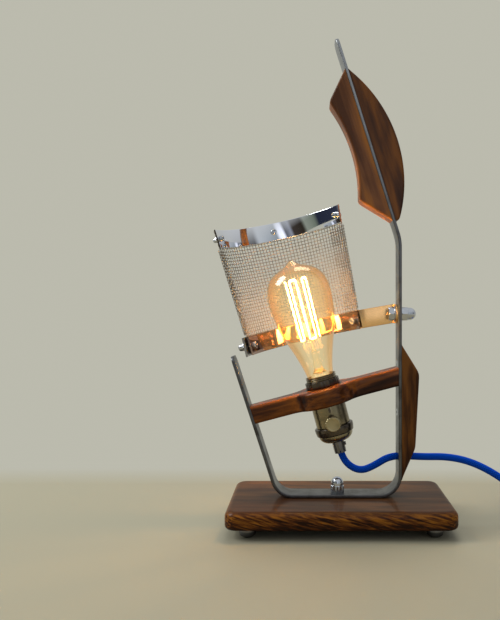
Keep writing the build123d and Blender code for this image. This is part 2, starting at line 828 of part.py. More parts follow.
def bracket_hoop():
    """Hoop about the lower strip, a straight run to the bar and a tab turned forward on it."""
    hoop = reflector_place * band([(hoop_inner_radius, 0), (hoop_outer_radius, 0), (hoop_outer_radius, hoop_height),
                                   (hoop_inner_radius, hoop_height)], hoop_past)
    turn = radians(reflector_first)
    middle = (hoop_inner_radius + hoop_thickness / 2) / cos(radians(panel_step / 2))
    edge = (middle * cos(turn), middle * sin(turn))
    hoop += reflector_place * Pos(edge[0], edge[1], 0) * rod(hoop_thickness / 2, 0, hoop_height, small_sides)
    low = (reflector_place * Pos(edge[0], edge[1], 0)).position
    high = (reflector_place * Pos(edge[0], edge[1], hoop_height)).position
    face_x = post_inner_x - seat_gap
    half = hoop_height / 2 / cos(radians(reflector_lean))
    run = make_face(Polyline((low.X, low.Z), (face_x, pivot_z - half), (face_x, pivot_z + half), (high.X, high.Z), close=True))
    back_y = low.Y + hoop_thickness / 2
    hoop += Pos(0, back_y, 0) * extrude(Plane.XZ * run, hoop_thickness)
    tab_shape = Pos(back_y / 2, 0) * Rectangle(back_y, 2 * half) + Circle(half) + Pos(-tab_reach + half, 0) * Circle(half)
    tab_place = Location(Plane(origin=(face_x - hoop_thickness, 0, pivot_z), x_dir=(0, 1, 0), z_dir=(1, 0, 0)))
    hoop += tab_place * extrude(tab_shape, hoop_thickness)
    corner = [e for e in hoop.edges() if abs(e.center().X - face_x) < 0.01 and abs(e.center().Y - back_y) < 0.01]
    hoop = fillet(corner, hoop_thickness * 0.9)
    hoop -= tab_place * peg(bolt_diameter / 2 + shaft_gap, -1, hoop_thickness + 1)
    for angle in rivet_angles:
        hoop -= reflector_place * low_rivet(angle, 0) * rod(hoop_screw_diameter / 2 + seat_gap, -3, 12, hole_sides)
    return hoop


strip_grip = cloth_outside + seat_gap
hoop_grip = hoop_outer_radius - cone_radius(strip_height / 2) + seat_gap
hoop_head_gap = hoop_screw_head / 2 * cone_rate + 0.2


def strip_screw(angle):
    """Screw through the upper strip and the cloth, with its head inside."""
    return top_rivet(angle, -2 * seat_gap) * Rot(180, 0, 0) * round_head_screw(
        strip_screw_diameter, strip_screw_head, strip_grip + 3.4)


def strip_nut(angle):
    """Small domed nut outside the cloth."""
    return top_rivet(angle, strip_grip) * small_cap_nut(strip_screw_diameter, 5.5, 2.4, 5.6)


def hoop_screw(angle):
    """Screw through the lower strip, the cloth and the hoop."""
    return low_rivet(angle, -hoop_head_gap) * Rot(180, 0, 0) * round_head_screw(
        hoop_screw_diameter, hoop_screw_head, hoop_grip + hoop_head_gap + 5.0)


def hoop_nut(angle):
    """Domed nut outside the hoop."""
    return low_rivet(angle, hoop_grip) * small_cap_nut(hoop_screw_diameter, 7.0, 3.2, 8.0)


def on_reflector(*solids):
    """Moves solids from the reflector's own frame to the lamp's."""
    return [reflector_place * solid for solid in solids]


def in_socket(solid):
    """Moves a solid from the lampholder's frame to the lamp's."""
    return socket_place * solid


# Cord

def on_socket_axis(height):
    """Point on the lampholder's axis at a height along it."""
    return (arm_x - height * sin(arm_turn), 0.0, arm_z + height * cos(arm_turn))


nipple_end = dome_bottom + nipple_length
cord_start = on_socket_axis(cord_in_nipple - nipple_end)
coil_top_z = cord_diameter / 2 + seat_gap + coil_rise * (coil_layers - 1)
coil_start = (coil_x - coil_end_run, coil_y - coil_radius, coil_top_z)
cord_section = Rot(0, 0, 180 / cord_sides) * RegularPolygon(cord_diameter / 2, cord_sides)

# The cord's route as corner points, from the cord grip through the post to the coil
cord_points = [
    cord_start,
    on_socket_axis(-nipple_end - 4.5),
    (10.3, 0.0, 55.6),
    (21.5, 0.0, 51.1),
    (34.0, 0.0, 52.2),
    (52.0, 0.0, cord_hole_z),
    (83.0, 0.0, cord_hole_z),
    (108.0, -0.3, 63.4),
    (132.0, -1.2, 58.0),
    (156.0, -3.0, 48.2),
    (178.0, -5.8, 31.5),
    (198.0, coil_start[1], coil_top_z),
    coil_start,
]


def corner_radius(before, corner, after):
    """Largest tidy arc at a corner: 0.45 of the shorter run over the tangent of half the turn."""
    first = Vector(*corner) - Vector(*before)
    second = Vector(*after) - Vector(*corner)
    half = radians(first.get_angle(second)) / 2
    return 0.45 * min(first.length, second.length) / tan(half)


def cord():
    """Free stretch of the cord: straight runs joined by tangent arcs."""
    spans = zip(cord_points, cord_points[1:], cord_points[2:])
    radii = [corner_radius(*span) for span in spans]
    print("cord radii", [round(r, 1) for r in radii])
    path = FilletPolyline(*cord_points, radius=radii)
    start = Plane(origin=path @ 0, x_dir=(0, 1, 0), z_dir=path % 0)
    stretch = sweep(start * cord_section, path)
    ideal = cord_section.area * path.length
    print("cord length", round(path.length, 1), "volume against section times length", round(stretch.volume / ideal, 4))
    return stretch


def coil_state(turn):
    """Radius and height of the coil after some turns: in and out again, with a climb at each reversal."""
    period = coil_turns_per_layer
    layer = int(turn / period)
    part = turn - layer * period
    inward = layer % 2 == 0
    radius = coil_radius - coil_pitch * (part if inward else period - part)
    nearest = round(turn / period)
    from_turn = turn - nearest * period
    drop = nearest
    if 0 < nearest < coil_layers and abs(from_turn) < 0.25:
        drop = nearest - 0.5 + 0.5 * sin(from_turn * 2 * pi)
    elif from_turn < 0:
        drop = nearest - 1
    drop = min(drop, coil_layers - 1)
    return radius, coil_top_z - coil_rise * drop


def coil_point(turn):
    """Point of the coil's middle line after some turns, starting at the front and turning left."""
    radius, height = coil_state(turn)
    angle = 2 * pi * turn - pi / 2
    return Vector(coil_x + radius * cos(angle), coil_y + radius * sin(angle), height)


def coil_tangent(turn):
    """Direction of the coil's middle line, from points close by on each side."""
    near = 0.02
    last = coil_layers * coil_turns_per_layer
    if turn <= 0 or turn >= last:
        return Vector(1, 0, 0)
    return (coil_point(turn + near) - coil_point(turn - near)).normalized()


def biarc(start, start_tangent, end, end_tangent):
    """Two tangent arcs from one point and direction to another."""
    span = end - start
    both = start_tangent + end_tangent
    share = 2 * (1 - start_tangent.dot(end_tangent))
    root = sqrt(span.dot(both) ** 2 + share * span.dot(span))
    reach = (root - span.dot(both)) / share
    joint = (start + end + (start_tangent - end_tangent) * reach) * 0.5
    return [TangentArc(start, joint, tangent=start_tangent), TangentArc(end, joint, tangent=end_tangent * -1)]


def coil_middle_line():
    """Edges of the coil's middle line: a straight lead, two arcs for each half turn and a straight end."""
    last = coil_layers * coil_turns_per_layer
    knots = [k / 2 for k in range(int(last * 2) + 1)]
    edges = [Line(coil_start, coil_point(0))]
    for first, second in zip(knots, knots[1:]):
        edges += biarc(coil_point(first), coil_tangent(first), coil_point(second), coil_tangent(second))
    end = coil_point(last)
    edges.append(Line(end, end + Vector(coil_end_run, 0, 0)))
    return edges


def coil_gap():
    """Least gap between the coil's turns, measured on points of its middle line."""
    last = coil_layers * coil_turns_per_layer
    count = 48
    total = int(last * count)
    points = [coil_point(k / count) for k in range(total + 1)]
    least = min((points[a] - points[b]).length for a in range(total) for b in range(a + count // 2, total + 1))
    return least - cord_diameter


def cord_coil():
    """The put away length of the cord, wound in layers that spiral in and out again."""
    line = Wire(coil_middle_line())
    start = Plane(origin=coil_start, x_dir=(0, 0, 1), z_dir=(1, 0, 0))
    coil = sweep(start * cord_section, line)
    print("coil length", round(line.length, 1), "least gap to itself", round(coil_gap(), 2))
    return coil


coil_end = coil_point(coil_layers * coil_turns_per_layer) + Vector(coil_end_run, 0, 0)
tail_points = [
    (coil_end.X, coil_end.Y, coil_end.Z),
    (coil_end.X + 14.0, coil_end.Y, coil_end.Z),
    (coil_end.X + 29.0, coil_end.Y - 7.0, coil_end.Z + 3.4),
    (coil_end.X + 42.0, coil_end.Y - 19.0, coil_end.Z + 3.4),
]


def cord_tail():
    """Last stretch of the cord, from the coil to the plug."""
    spans = zip(tail_points, tail_points[1:], tail_points[2:])
    radii = [corner_radius(*span) for span in spans]
    print("tail radii", [round(r, 1) for r in radii])
    path = FilletPolyline(*tail_points, radius=radii)
    start = Plane(origin=path @ 0, x_dir=(0, 0, 1), z_dir=path % 0)
    return sweep(start * cord_section, path)


def plug_place():
    """Place of the plug: at the end of the cord's tail, with x along it and z up."""
    last = Vector(*tail_points[-1])
    along = (last - Vector(*tail_points[-2])).normalized()
    return Location(Plane(origin=last, x_dir=along, z_dir=(0, 0, 1)))


def plug_body():
    """Moulded plug: a narrow nose on the cord that widens to a flat face."""
    half = plug_width / 2
    plan = Polyline((0, -5), (0, 5), (9, 6), (17, half), (plug_length, half), (plug_length, -half), (17, -half), (9, -6), close=True)
    body = extrude(make_face(plan), plug_height / 2, both=True)
    long_edges = [e for e in body.edges() if abs(abs(e.center().Z) - plug_height / 2) < 0.01]
    return chamfer(long_edges, 2.0)


def plug_pins():
    """Two flat pins that stand out of the plug's face."""
    pins = []
    for side in (-1, 1):
        blade = Box(plug_pin_length, plug_pin_thickness, plug_pin_width, align=(Align.MIN, Align.CENTER, Align.CENTER))
        pins.append(Pos(plug_length, side * plug_pin_spacing / 2, 0) * blade)
    return pins


# Pivot and base fasteners

def across_post(x, z, solid):
    """Places a solid on the line through the post, with z to the right."""
    return pointing((x, 0, z), (1, 0, 0)) * solid


pivot_bolt_length = post_outer_x - pivot_head_x + cap_nut_depth - 1.0
base_bolt_length = base_top + bar_thickness - bolt_seat_z + washer_thickness + cap_nut_depth - 1.0


def pivot_bolt():
    """Bolt that the hoop tilts about, with its head on the inside of the bar."""
    bolt = hexagon(bolt_head_flats, 0, bolt_head_height) + peg(bolt_diameter / 2, -pivot_bolt_length, 0)
    return across_post(pivot_head_x, pivot_z, Rot(180, 0, 0) * bolt)


def base_bolt():
    """Bolt that holds the bar to the board, with its head in the recess below."""
    bolt = hexagon(bolt_head_flats, 0, bolt_head_height) + rod(bolt_diameter / 2, -base_bolt_length, 0, small_sides)
    return Pos(base_bolt_x, 0, bolt_seat_z - washer_thickness) * Rot(180, 0, 0) * bolt


def cap_nuts():
    """The two domed nuts, on the bar's foot and outside the post."""
    nut = cap_nut(bolt_diameter, cap_nut_flats, cap_nut_hex, cap_nut_height, cap_nut_depth)
    return [Pos(base_bolt_x, 0, base_top + bar_thickness) * nut, across_post(post_outer_x, pivot_z, nut)]


keep("base_board", base_board())
keep("feet", *[place * foot() for place in foot_places])
keep("frame_bar", frame_bar())
keep("base_bolt", base_bolt())
keep("washers", Pos(base_bolt_x, 0, 0) * washer(bolt_seat_z - washer_thickness), across_post(pivot_head_x, pivot_z, washer(0)))
keep("cap_nuts", *cap_nuts())
keep("pivot_bolt", pivot_bolt())
keep("grip_inner_scale", grip_inner_scale())
keep("grip_outer_scale", grip_outer_scale())
keep("grip_pins", *[place * grip_pin() for place in grip_pin_places()])
keep("lower_grip", lower_grip())
keep("wood_screws", *[place * wood_screw() for place in wood_screw_places()])
keep("socket_arm", socket_arm())
keep("socket_shell", in_socket(socket_shell()))
keep("socket_ring", in_socket(socket_ring()))
keep("socket_sleeve", in_socket(socket_sleeve()))
keep("socket_contact", in_socket(socket_contact()))
keep("socket_cap", in_socket(socket_cap()))
keep("cord_grip", in_socket(cord_grip()))
keep("cord_grip_screw", in_socket(cord_grip_screw()))
keep("switch_spindle", in_socket(switch_spindle()))
keep("switch_knob", in_socket(switch_knob()))
keep("bulb_glass", in_socket(bulb_glass()))
keep("bulb_cap", in_socket(bulb_cap()))
keep("bulb_cap_glass", in_socket(bulb_cap_glass()))
keep("bulb_contact", in_socket(bulb_contact()))
keep("bulb_stem", in_socket(bulb_stem()))
keep("filament", in_socket(filament()))
keep("filament_supports", *[in_socket(wire) for wire in filament_supports()])
keep("reflector_cloth", *on_reflector(reflector_cloth()))
keep("reflector_top_strip", *on_reflector(reflector_strip(
    reflector_height - strip_height, top_rivet, strip_screw_diameter)))
keep("reflector_low_strip", *on_reflector(reflector_strip(0, low_rivet, hoop_screw_diameter)))
keep("strip_screws", *on_reflector(*[strip_screw(angle) for angle in rivet_angles]))
keep("strip_nuts", *on_reflector(*[strip_nut(angle) for angle in rivet_angles]))
keep("hoop_screws", *on_reflector(*[hoop_screw(angle) for angle in rivet_angles]))
keep("hoop_nuts", *on_reflector(*[hoop_nut(angle) for angle in rivet_angles]))
keep("bracket_hoop", bracket_hoop())
keep("cord", cord())
keep("cord_coil", cord_coil())
keep("cord_tail", cord_tail())
keep("plug_body", plug_place() * plug_body())
keep("plug_pins", *[plug_place() * pin for pin in plug_pins()])
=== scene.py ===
import bmesh
import bpy
import numpy as np
from math import atan2, cos, hypot, pi, radians, sin, sqrt, tan
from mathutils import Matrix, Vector


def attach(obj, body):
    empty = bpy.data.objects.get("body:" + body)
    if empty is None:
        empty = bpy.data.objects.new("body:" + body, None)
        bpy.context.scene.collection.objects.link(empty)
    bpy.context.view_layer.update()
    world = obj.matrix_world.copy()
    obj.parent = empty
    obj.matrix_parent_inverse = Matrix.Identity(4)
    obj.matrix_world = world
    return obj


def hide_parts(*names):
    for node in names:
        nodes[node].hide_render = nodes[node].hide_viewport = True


# Looks of a reading lamp: a bent steel bar on a varnished board, a lit filament bulb in an aged
# lampholder, a wire cloth reflector and a blue textile cord.
# Shapes are written in the maker's millimetres, with x from the board's middle, y away from the
# viewer and z up from the table, and go into the frame's metres in one place, `placed`.

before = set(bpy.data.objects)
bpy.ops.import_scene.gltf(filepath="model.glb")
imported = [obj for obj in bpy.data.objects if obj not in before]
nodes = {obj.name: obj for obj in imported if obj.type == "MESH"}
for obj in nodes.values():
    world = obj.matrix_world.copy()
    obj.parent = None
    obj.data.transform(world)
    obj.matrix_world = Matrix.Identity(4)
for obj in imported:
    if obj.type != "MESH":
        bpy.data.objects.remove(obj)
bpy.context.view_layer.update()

# Sizes that pieces share: millimetres, leans to the left in degrees, angles round the cone in radians
board_x = 9.0
board_half_width, board_half_depth, board_corner = 108.5, 60.0, 12.0
foot_height, foot_x, foot_y = 9.0, 87.5, 45.0
board_top = 26.0
bar_width, bar_thickness = 25.0, 3.2
bar_z = board_top + bar_thickness / 2
left_heel_x, left_lean, left_tip_z = -61.0, 18.2, 165.0
post_x = 59.5
post_inner, post_outer = post_x - bar_thickness / 2, post_x + bar_thickness / 2
elbow_z, top_lean, top_tip_z = 280.0, 17.4, 479.5
grip_foot_z, grip_top_z = 299.0, 448.5
pivot_z, bolt_x, bolt_flats = 207.2, -2.0, 13.0
washer_thickness = 1.2
arm_place, arm_lean, half_arm = (-13.6, 0.0, 126.2), 14.8, 8.8
boss_radius, boss_blend = 31.0, 16.0
shell_radius, neck_radius = 17.0, 15.2
filament_low, filament_high, filament_radius = 58.0, 119.0, 11.0
reflector_place, reflector_lean = (-27.3, -23.5, 180.2), 13.2
cone_low, cone_high, cone_height = 59.75, 68.9, 129.0
cone_rate = (cone_high - cone_low) / cone_height
first_angle, sweep_angle = radians(33.6), radians(135.7)
strip_height, strip_thickness = 18.7, 1.2
hoop_height, hoop_thickness = 19.0, 2.0


def placed(points):
    """Millimetres from the board's middle, as an array, in the frame's metres."""
    return (np.asarray(points, float) + (board_x, 0.0, 0.0)) * 0.001


def leaning(points, place, lean):
    """Points moved from a leaning piece's own frame: z leans to the left by an angle in degrees."""
    t = radians(lean)
    axes = np.array([(cos(t), 0, sin(t)), (0, 1, 0), (-sin(t), 0, cos(t))])
    return np.asarray(points, float) @ axes + place


def in_holder(points):
    """From the lampholder's frame, with z up its axis from the middle of the arm."""
    return leaning(points, arm_place, arm_lean)


def in_reflector(points):
    """From the reflector's frame, with z up its cone's axis from the lower edge."""
    return leaning(points, reflector_place, reflector_lean)


# Surfaces

def unit(vectors):
    """Vectors along the last axis, each at length one."""
    return vectors / np.linalg.norm(vectors, axis=-1, keepdims=True)


def on_circle(radius, angle, z):
    """Points at a radius and an angle about the z axis, at a height."""
    x, y = radius * np.cos(angle), radius * np.sin(angle)
    return np.stack([x, y, np.broadcast_to(z, x.shape)], axis=-1)


def lengths_along(line):
    """Length from the start of a line to each of its points."""
    return np.concatenate([[0], np.cumsum(np.linalg.norm(np.diff(line, axis=0), axis=1))])


def blunt(value, power):
    """A value's sign with a power of its size, which makes a rounded oblong out of a circle."""
    return np.sign(value) * abs(value) ** power


def skin(grid, around=True, capped=False, both=False):
    """Quads between the rows of a grid of points. Around joins each row's ends, both joins the
    last row to the first, and capped closes the first and last rows with one face each."""
    grid = np.asarray(grid, float)
    index = np.arange(grid.shape[0] * grid.shape[1]).reshape(grid.shape[:2])
    rows = np.concatenate([index, index[:1]]) if both else index
    rows = np.concatenate([rows, rows[:, :1]], axis=1) if around else rows
    quads = np.stack([rows[:-1, :-1], rows[:-1, 1:], rows[1:, 1:], rows[1:, :-1]], axis=-1)
    faces = quads.reshape(-1, 4).tolist()
    if capped:
        faces += [index[0, ::-1].tolist(), index[-1].tolist()]
    return grid.reshape(-1, 3), faces


def together(*skins):
    """Several skins as one, the later faces counted on from the earlier points."""
    starts = np.cumsum([0] + [len(points) for points, _ in skins])
    faces = [[k + int(start) for k in face] for start, (_, some) in zip(starts, skins) for face in some]
    return np.concatenate([points for points, _ in skins]), faces


def piece(name, made, body, finish, instead=(), sharp=38.0, merge=True, uv=None):
    """Finished piece from a skin in millimetres: placed, riding on its body, with its finish."""
    points, faces = made
    mesh = bpy.data.meshes.new(name)
    mesh.from_pydata(placed(points).tolist(), [], faces)
    if uv is not None:
        layer = mesh.uv_layers.new(name="along")
        corner = np.empty(len(mesh.loops), np.int32)
        mesh.loops.foreach_get("vertex_index", corner)
        layer.data.foreach_set("uv", np.asarray(uv, float)[corner].ravel())
    if merge:
        cleaner = bmesh.new()
        cleaner.from_mesh(mesh)
        bmesh.ops.remove_doubles(cleaner, verts=cleaner.verts, dist=2e-6)
        bmesh.ops.dissolve_degenerate(cleaner, dist=2e-6, edges=cleaner.edges)
        wide = [face for face in cleaner.faces if len(face.verts) > 4]
        bmesh.ops.triangulate(cleaner, faces=wide, ngon_method="BEAUTY")
        bmesh.ops.recalc_face_normals(cleaner, faces=cleaner.faces)
        cleaner.to_mesh(mesh)
        cleaner.free()
    mesh.polygons.foreach_set("use_smooth", np.ones(len(mesh.polygons), bool))
    mesh.set_sharp_from_angle(angle=radians(sharp))
    mesh.materials.append(finish)
    made_piece = bpy.data.objects.new(name, mesh)
    bpy.context.scene.collection.objects.link(made_piece)
    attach(made_piece, body)
    if instead:
        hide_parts(*instead)
    return made_piece


def softened(points, radius, steps=4, closed=False):
    """Outline with each corner replaced by a short parabola, tangent to both sides and starting
    radius / tan(half the inner angle) before the corner, at most 0.45 of the shorter side."""
    p = np.asarray(points, float)
    before, after = np.roll(p, 1, axis=0), np.roll(p, -1, axis=0)
    back, ahead = before - p, after - p
    far_back = np.linalg.norm(back, axis=1, keepdims=True)
    far_ahead = np.linalg.norm(ahead, axis=1, keepdims=True)
    back, ahead = back / far_back, ahead / far_ahead
    half = np.arccos(np.clip((back * ahead).sum(1, keepdims=True), -1, 1)) / 2
    reach = np.minimum(np.broadcast_to(np.reshape(radius, (-1, 1)), half.shape) / np.tan(half),
                       0.45 * np.minimum(far_back, far_ahead))
    s = np.linspace(0, 1, steps + 1)[None, :, None]
    start, end = (p + back * reach)[:, None], (p + ahead * reach)[:, None]
    curve = start * (1 - s) ** 2 + 2 * p[:, None] * s * (1 - s) + end * s ** 2
    if closed:
        return curve.reshape(-1, p.shape[1])
    return np.concatenate([p[:1], curve[1:-1].reshape(-1, p.shape[1]), p[-1:]])


def oblong(first, last, radius, steps):
    """Closed outline of a rounded oblong between two opposite corners."""
    (x, z), (far_x, far_z) = first, last
    return softened([(x, z), (far_x, z), (far_x, far_z), (x, far_z)], radius, steps, closed=True)


def across_bar(flat, y):
    """Skin whose rows lie in x and z, with y across the bar, closed at both ends."""
    y = np.broadcast_to(y, flat.shape[:2])
    return skin(np.stack([flat[..., 0], y, flat[..., 1]], axis=-1), capped=True)


def lathe(profile, sides, flute=None):
    """Surface turned about z: each radius and height goes round by the angles; flute scales the
    radius by angle."""
    profile = np.asarray(profile, float)
    turn = np.arange(sides) * 2 * pi / sides
    scale = np.ones(sides) if flute is None else flute(turn)
    return skin(on_circle(profile[:, :1] * scale, turn, profile[:, 1:]))


def six_sided(flats, high, top):
    """Hexagonal prism whose upper corners are turned off to a cone, with a profile of radii and
    heights on top: the radius by angle is the hexagon's, limited by a circle that narrows."""
    sides = 72
    turn = np.arange(sides) * 2 * pi / sides
    hexagon = flats / 2 / np.cos((turn + pi / 6) % (pi / 3) - pi / 6)
    limits = [(0.545, 0.0), (0.6, 0.35), (0.6, high - 0.7), (0.5, high)]
    rows = [(0 * turn, 0.0)] + [(np.minimum(hexagon, share * flats), z) for share, z in limits]
    rows += [(0 * turn + r, z) for r, z in top]
    radius, height = np.array([r for r, _ in rows]), np.array([[z] for _, z in rows])
    return skin(on_circle(radius, turn, height))


def moved(made, mover):
    """A skin with its points put through a function."""
    return mover(made[0]), made[1]


def held(made):
    """A skin written in the lampholder's frame."""
    return moved(made, in_holder)


def laid(made, place, out=(0.0, 0.0, 1.0)):
    """A skin whose z axis is laid along a direction from a place."""
    z = unit(np.asarray(out, float))
    x = unit(np.cross((0.0, 1.0, 0.0) if abs(z[1]) < 0.9 else (1.0, 0.0, 0.0), z))
    return made[0] @ np.array([x, np.cross(z, x), z]) + place, made[1]


def wires(middle, side, up, radius, sides):
    """Round wires along rows of middle points, in rings spanned by two unit directions."""
    turn = np.arange(sides) * 2 * pi / sides
    ring = side[..., None, :] * np.cos(turn)[:, None] + up[..., None, :] * np.sin(turn)[:, None]
    grids = middle[..., None, :] + radius * ring
    return together(*[skin(grid, capped=True) for grid in grids])


def dome(radius, low, height):
    """Profile of an elliptic dome from its rim at a height up to its pole."""
    t = np.linspace(0, pi / 2, 10)
    return np.stack([radius * np.cos(t), low + height * np.sin(t)], axis=1)


# Board and feet

def board_outline(inset, height):
    """Rounded rectangle drawn in by an inset: a quarter turn about each corner's middle."""
    turn = np.linspace(0, pi / 2, 14) + np.arange(4)[:, None] * pi / 2
    right = np.array([1, -1, -1, 1])[:, None] * (board_half_width - board_corner)
    back = np.array([1, 1, -1, -1])[:, None] * (board_half_depth - board_corner)
    reach = board_corner - inset
    ring = [right + reach * np.cos(turn), back + reach * np.sin(turn), np.full(turn.shape, height)]
    return np.stack(ring, axis=-1).reshape(-1, 3)


def board():
    """Board as outlines stacked up its edge, by inset and height: a small quarter round below, a
    large one above, and a narrow flat rim inside each."""
    small, large = 3.5, 6.0
    rows = [(small + 0.7, foot_height)]
    rows += [(small * (1 - sin(t)), foot_height + small * (1 - cos(t))) for t in np.linspace(0, pi / 2, 6)]
    rows += [(large * (1 - cos(t)), board_top - large * (1 - sin(t))) for t in np.linspace(0, pi / 2, 10)]
    rows += [(large + 0.8, board_top)]
    return skin(np.array([board_outline(inset, height) for inset, height in rows]), capped=True)


def feet():
    """Four domed metal glides."""
    profile = [(0, 0), (4.4, 0), (7.6, 2.4), (8.5, 6.0), (8.5, foot_height), (0, foot_height)]
    one = lathe(softened(profile, 2.0, 5), 48)
    return together(*[laid(one, (x, y, 0)) for x in (-foot_x, foot_x) for y in (-foot_y, foot_y)])


# Bent bar

def slant(x, z, lean, height):
    """Point in x and z of a line that leans to the left, at a height."""
    return np.array([x - (height - z) * tan(radians(lean)), height])


def face_of_bar(height, side):
    """Point on the slanted part of the bar, side -1 for its left face and 1 for its right."""
    reach = bar_thickness / 2 / cos(radians(top_lean))
    return slant(post_x, elbow_z, top_lean, height) + (side * reach, 0)


def bent(corners, radii):
    """Line in x and z of straight runs joined by arcs, with its direction at each point."""
    corners = np.asarray(corners, float)
    line, ways = [], []
    for before, corner, after, radius in zip(corners, corners[1:], corners[2:], radii):
        way, on = unit(corner - before), unit(after - corner)
        turn = atan2(way[0] * on[1] - way[1] * on[0], way @ on)
        side = np.sign(turn)
        left = np.array([-way[1], way[0]])
        centre = corner - way * radius * tan(abs(turn) / 2) + side * radius * left
        phi = np.linspace(0, turn, 16)[:, None]
        ways.append(way * np.cos(phi) + left * np.sin(phi))
        line.append(centre - side * radius * (left * np.cos(phi) - way * np.sin(phi)))
    return np.concatenate(line), np.concatenate(ways)


def bar():
    """Flat bar with eased edges carried along its bent middle line. A quarter turn at each end draws
    the line back and narrows the bar, so that the ends are round."""
    left_tip = slant(left_heel_x, bar_z, left_lean, left_tip_z)
    top_tip = slant(post_x, elbow_z, top_lean, top_tip_z)
    corners = [left_tip, (left_heel_x, bar_z), (post_x, bar_z), (post_x, elbow_z), top_tip]
    heel_bend, elbow_bend = 20.4, 48.0
    line, ways = bent(corners, (heel_bend, heel_bend, elbow_bend))
    first, last = unit(line[0] - left_tip), unit(top_tip - line[-1])
    end_round, end_steps = 7.0, 9
    t = np.linspace(0.06, pi / 2, end_steps)
    back = end_round * (1 - np.cos(t))[:, None]
    drawn = end_round * (1 - np.sin(t))
    narrow = np.concatenate([drawn, np.zeros(len(line)), drawn[::-1]])
    line = np.concatenate([left_tip + first * back, line, (top_tip - last * back)[::-1]])
    ways = np.concatenate([np.tile(first, (end_steps, 1)), ways, np.tile(last, (end_steps, 1))])
    half, thin = bar_width / 2, bar_thickness / 2
    loop = oblong((half, thin), (-half, -thin), 0.9, 5)
    across = np.sign(loop[:, 0]) * (abs(loop[:, 0]) - narrow[:, None])
    normal = np.stack([-ways[:, 1], ways[:, 0]], axis=1)
    return across_bar(line[:, None] + normal[:, None] * loop[None, :, 1:], across)


# Wood scales

def arc_through(start, middle, end):
    """Arc through three points in x and z, about the middle of their circle, with its direction at
    the end."""
    (ax, az), (bx, bz), (cx, cz) = start, middle, end
    d = 2 * (ax * (bz - cz) + bx * (cz - az) + cx * (az - bz))
    sa, sb, sc = ax * ax + az * az, bx * bx + bz * bz, cx * cx + cz * cz
    centre = np.array([sa * (bz - cz) + sb * (cz - az) + sc * (az - bz),
                       sa * (cx - bx) + sb * (ax - cx) + sc * (bx - ax)]) / d
    angles = [atan2(p[1] - centre[1], p[0] - centre[0]) for p in (start, middle, end)]
    on = (angles[1] - angles[0] + pi) % (2 * pi) - pi
    turn = (angles[2] - angles[1] + pi) % (2 * pi) - pi + on
    phi = angles[0] + np.linspace(0, turn, 40)
    radius = hypot(*(np.asarray(start) - centre))
    way = np.sign(turn) * np.array([-sin(phi[-1]), cos(phi[-1])])
    return centre + radius * np.stack([np.cos(phi), np.sin(phi)], axis=1), way


def arc_on(start, way, end):
    """Arc that leaves a point along a direction and ends at another: its turn is twice the angle
    between that direction and the chord."""
    start, way, end = (np.asarray(v, float) for v in (start, way, end))
    left = np.array([-way[1], way[0]])
    span = end - start
    radius = span @ span / (2 * span @ left)
    phi = np.linspace(0, 2 * atan2(span @ left, span @ way), 40)[:, None]
    return start + radius * (left + way * np.sin(phi) - left * np.cos(phi))


def scale_of_wood(outline, low, high, bevel=2.0):
    """Wood scale across the bar's width. The outline is spaced evenly and smoothed by running
    means away from the bar's face, and its front and back rims are drawn in by a quarter round."""
    closed = np.concatenate([outline, outline[:1]])
    along, spacing, fade_in, smoothings = lengths_along(closed), 0.9, 3.0, 14
    even = np.linspace(0, along[-1], int(along[-1] / spacing), endpoint=False)
    p = np.stack([np.interp(even, along, closed[:, k]) for k in (0, 1)], axis=1)
    run = unit(high - low)
    off = abs((p - low) @ np.array([run[1], -run[0]]))
    free = np.clip(off / fade_in, 0, 1)[:, None]
    for _ in range(smoothings):
        p = p + free * (0.25 * (np.roll(p, 1, axis=0) + np.roll(p, -1, axis=0)) - 0.5 * p)
    way = unit(np.roll(p, -1, axis=0) - np.roll(p, 1, axis=0))
    area = (p[:, 0] * np.roll(p[:, 1], -1) - p[:, 1] * np.roll(p[:, 0], -1)).sum()
    inward = np.stack([-way[:, 1], way[:, 0]], axis=1) * np.sign(area)
    t = np.linspace(0, pi / 2, 8)
    draw = np.concatenate([[bevel + 0.4], bevel * (1 - np.sin(t))])
    height = bar_width / 2 - np.concatenate([[0], bevel * (1 - np.cos(t))])
    draw, height = np.concatenate([draw, draw[::-1]]), np.concatenate([-height, height[::-1]])
    return across_bar(p + inward * free * draw[:, None, None], height[:, None])


def inner_scale():
    """Left scale: a horn above, a hollow side and a slanted foot."""
    foot, top = face_of_bar(grip_foot_z, -1), face_of_bar(grip_top_z, -1)
    horn_waist_heel = [(415.4, 26.0), (367.2, 17.1), (319.0, 26.5)]
    side, _ = arc_through(*[face_of_bar(height, -1) - (reach, 0) for height, reach in horn_waist_heel])
    return scale_of_wood(np.concatenate([[foot, top], side]), foot, top)


def outer_scale():
    """Right scale: one swelling back, an arc to its widest point and an arc on from there, that
    ends in a small step."""
    foot, top = face_of_bar(grip_foot_z, 1), face_of_bar(grip_top_z, 1)
    widest = face_of_bar(347.0, 1) + (23.2, 0)
    rise, step = 12.2, (3.4, 0)
    chord = widest - top
    bulge = (top + widest) / 2 + rise * np.array([-chord[1], chord[0]]) / hypot(*chord)
    back, way = arc_through(top, bulge, widest)
    low = arc_on(widest, way, foot + step)
    return scale_of_wood(np.concatenate([[foot], back, low[1:]]), foot, top)


def lower_scale():
    """Lower scale: a long palm on the post between two slanting shoulders, its corners eased."""
    top, low = (post_outer, 177.0), (post_outer, 43.5)
    shoulder, heel = (post_outer + 17.6, 148.5), (post_outer + 13.6, 75.0)
    outline = softened([top, shoulder, heel, low], (0, 9.0, 7.0, 0), 10)
    return scale_of_wood(outline, np.array(low), np.array(top), bevel=3.0)


# Cross arm

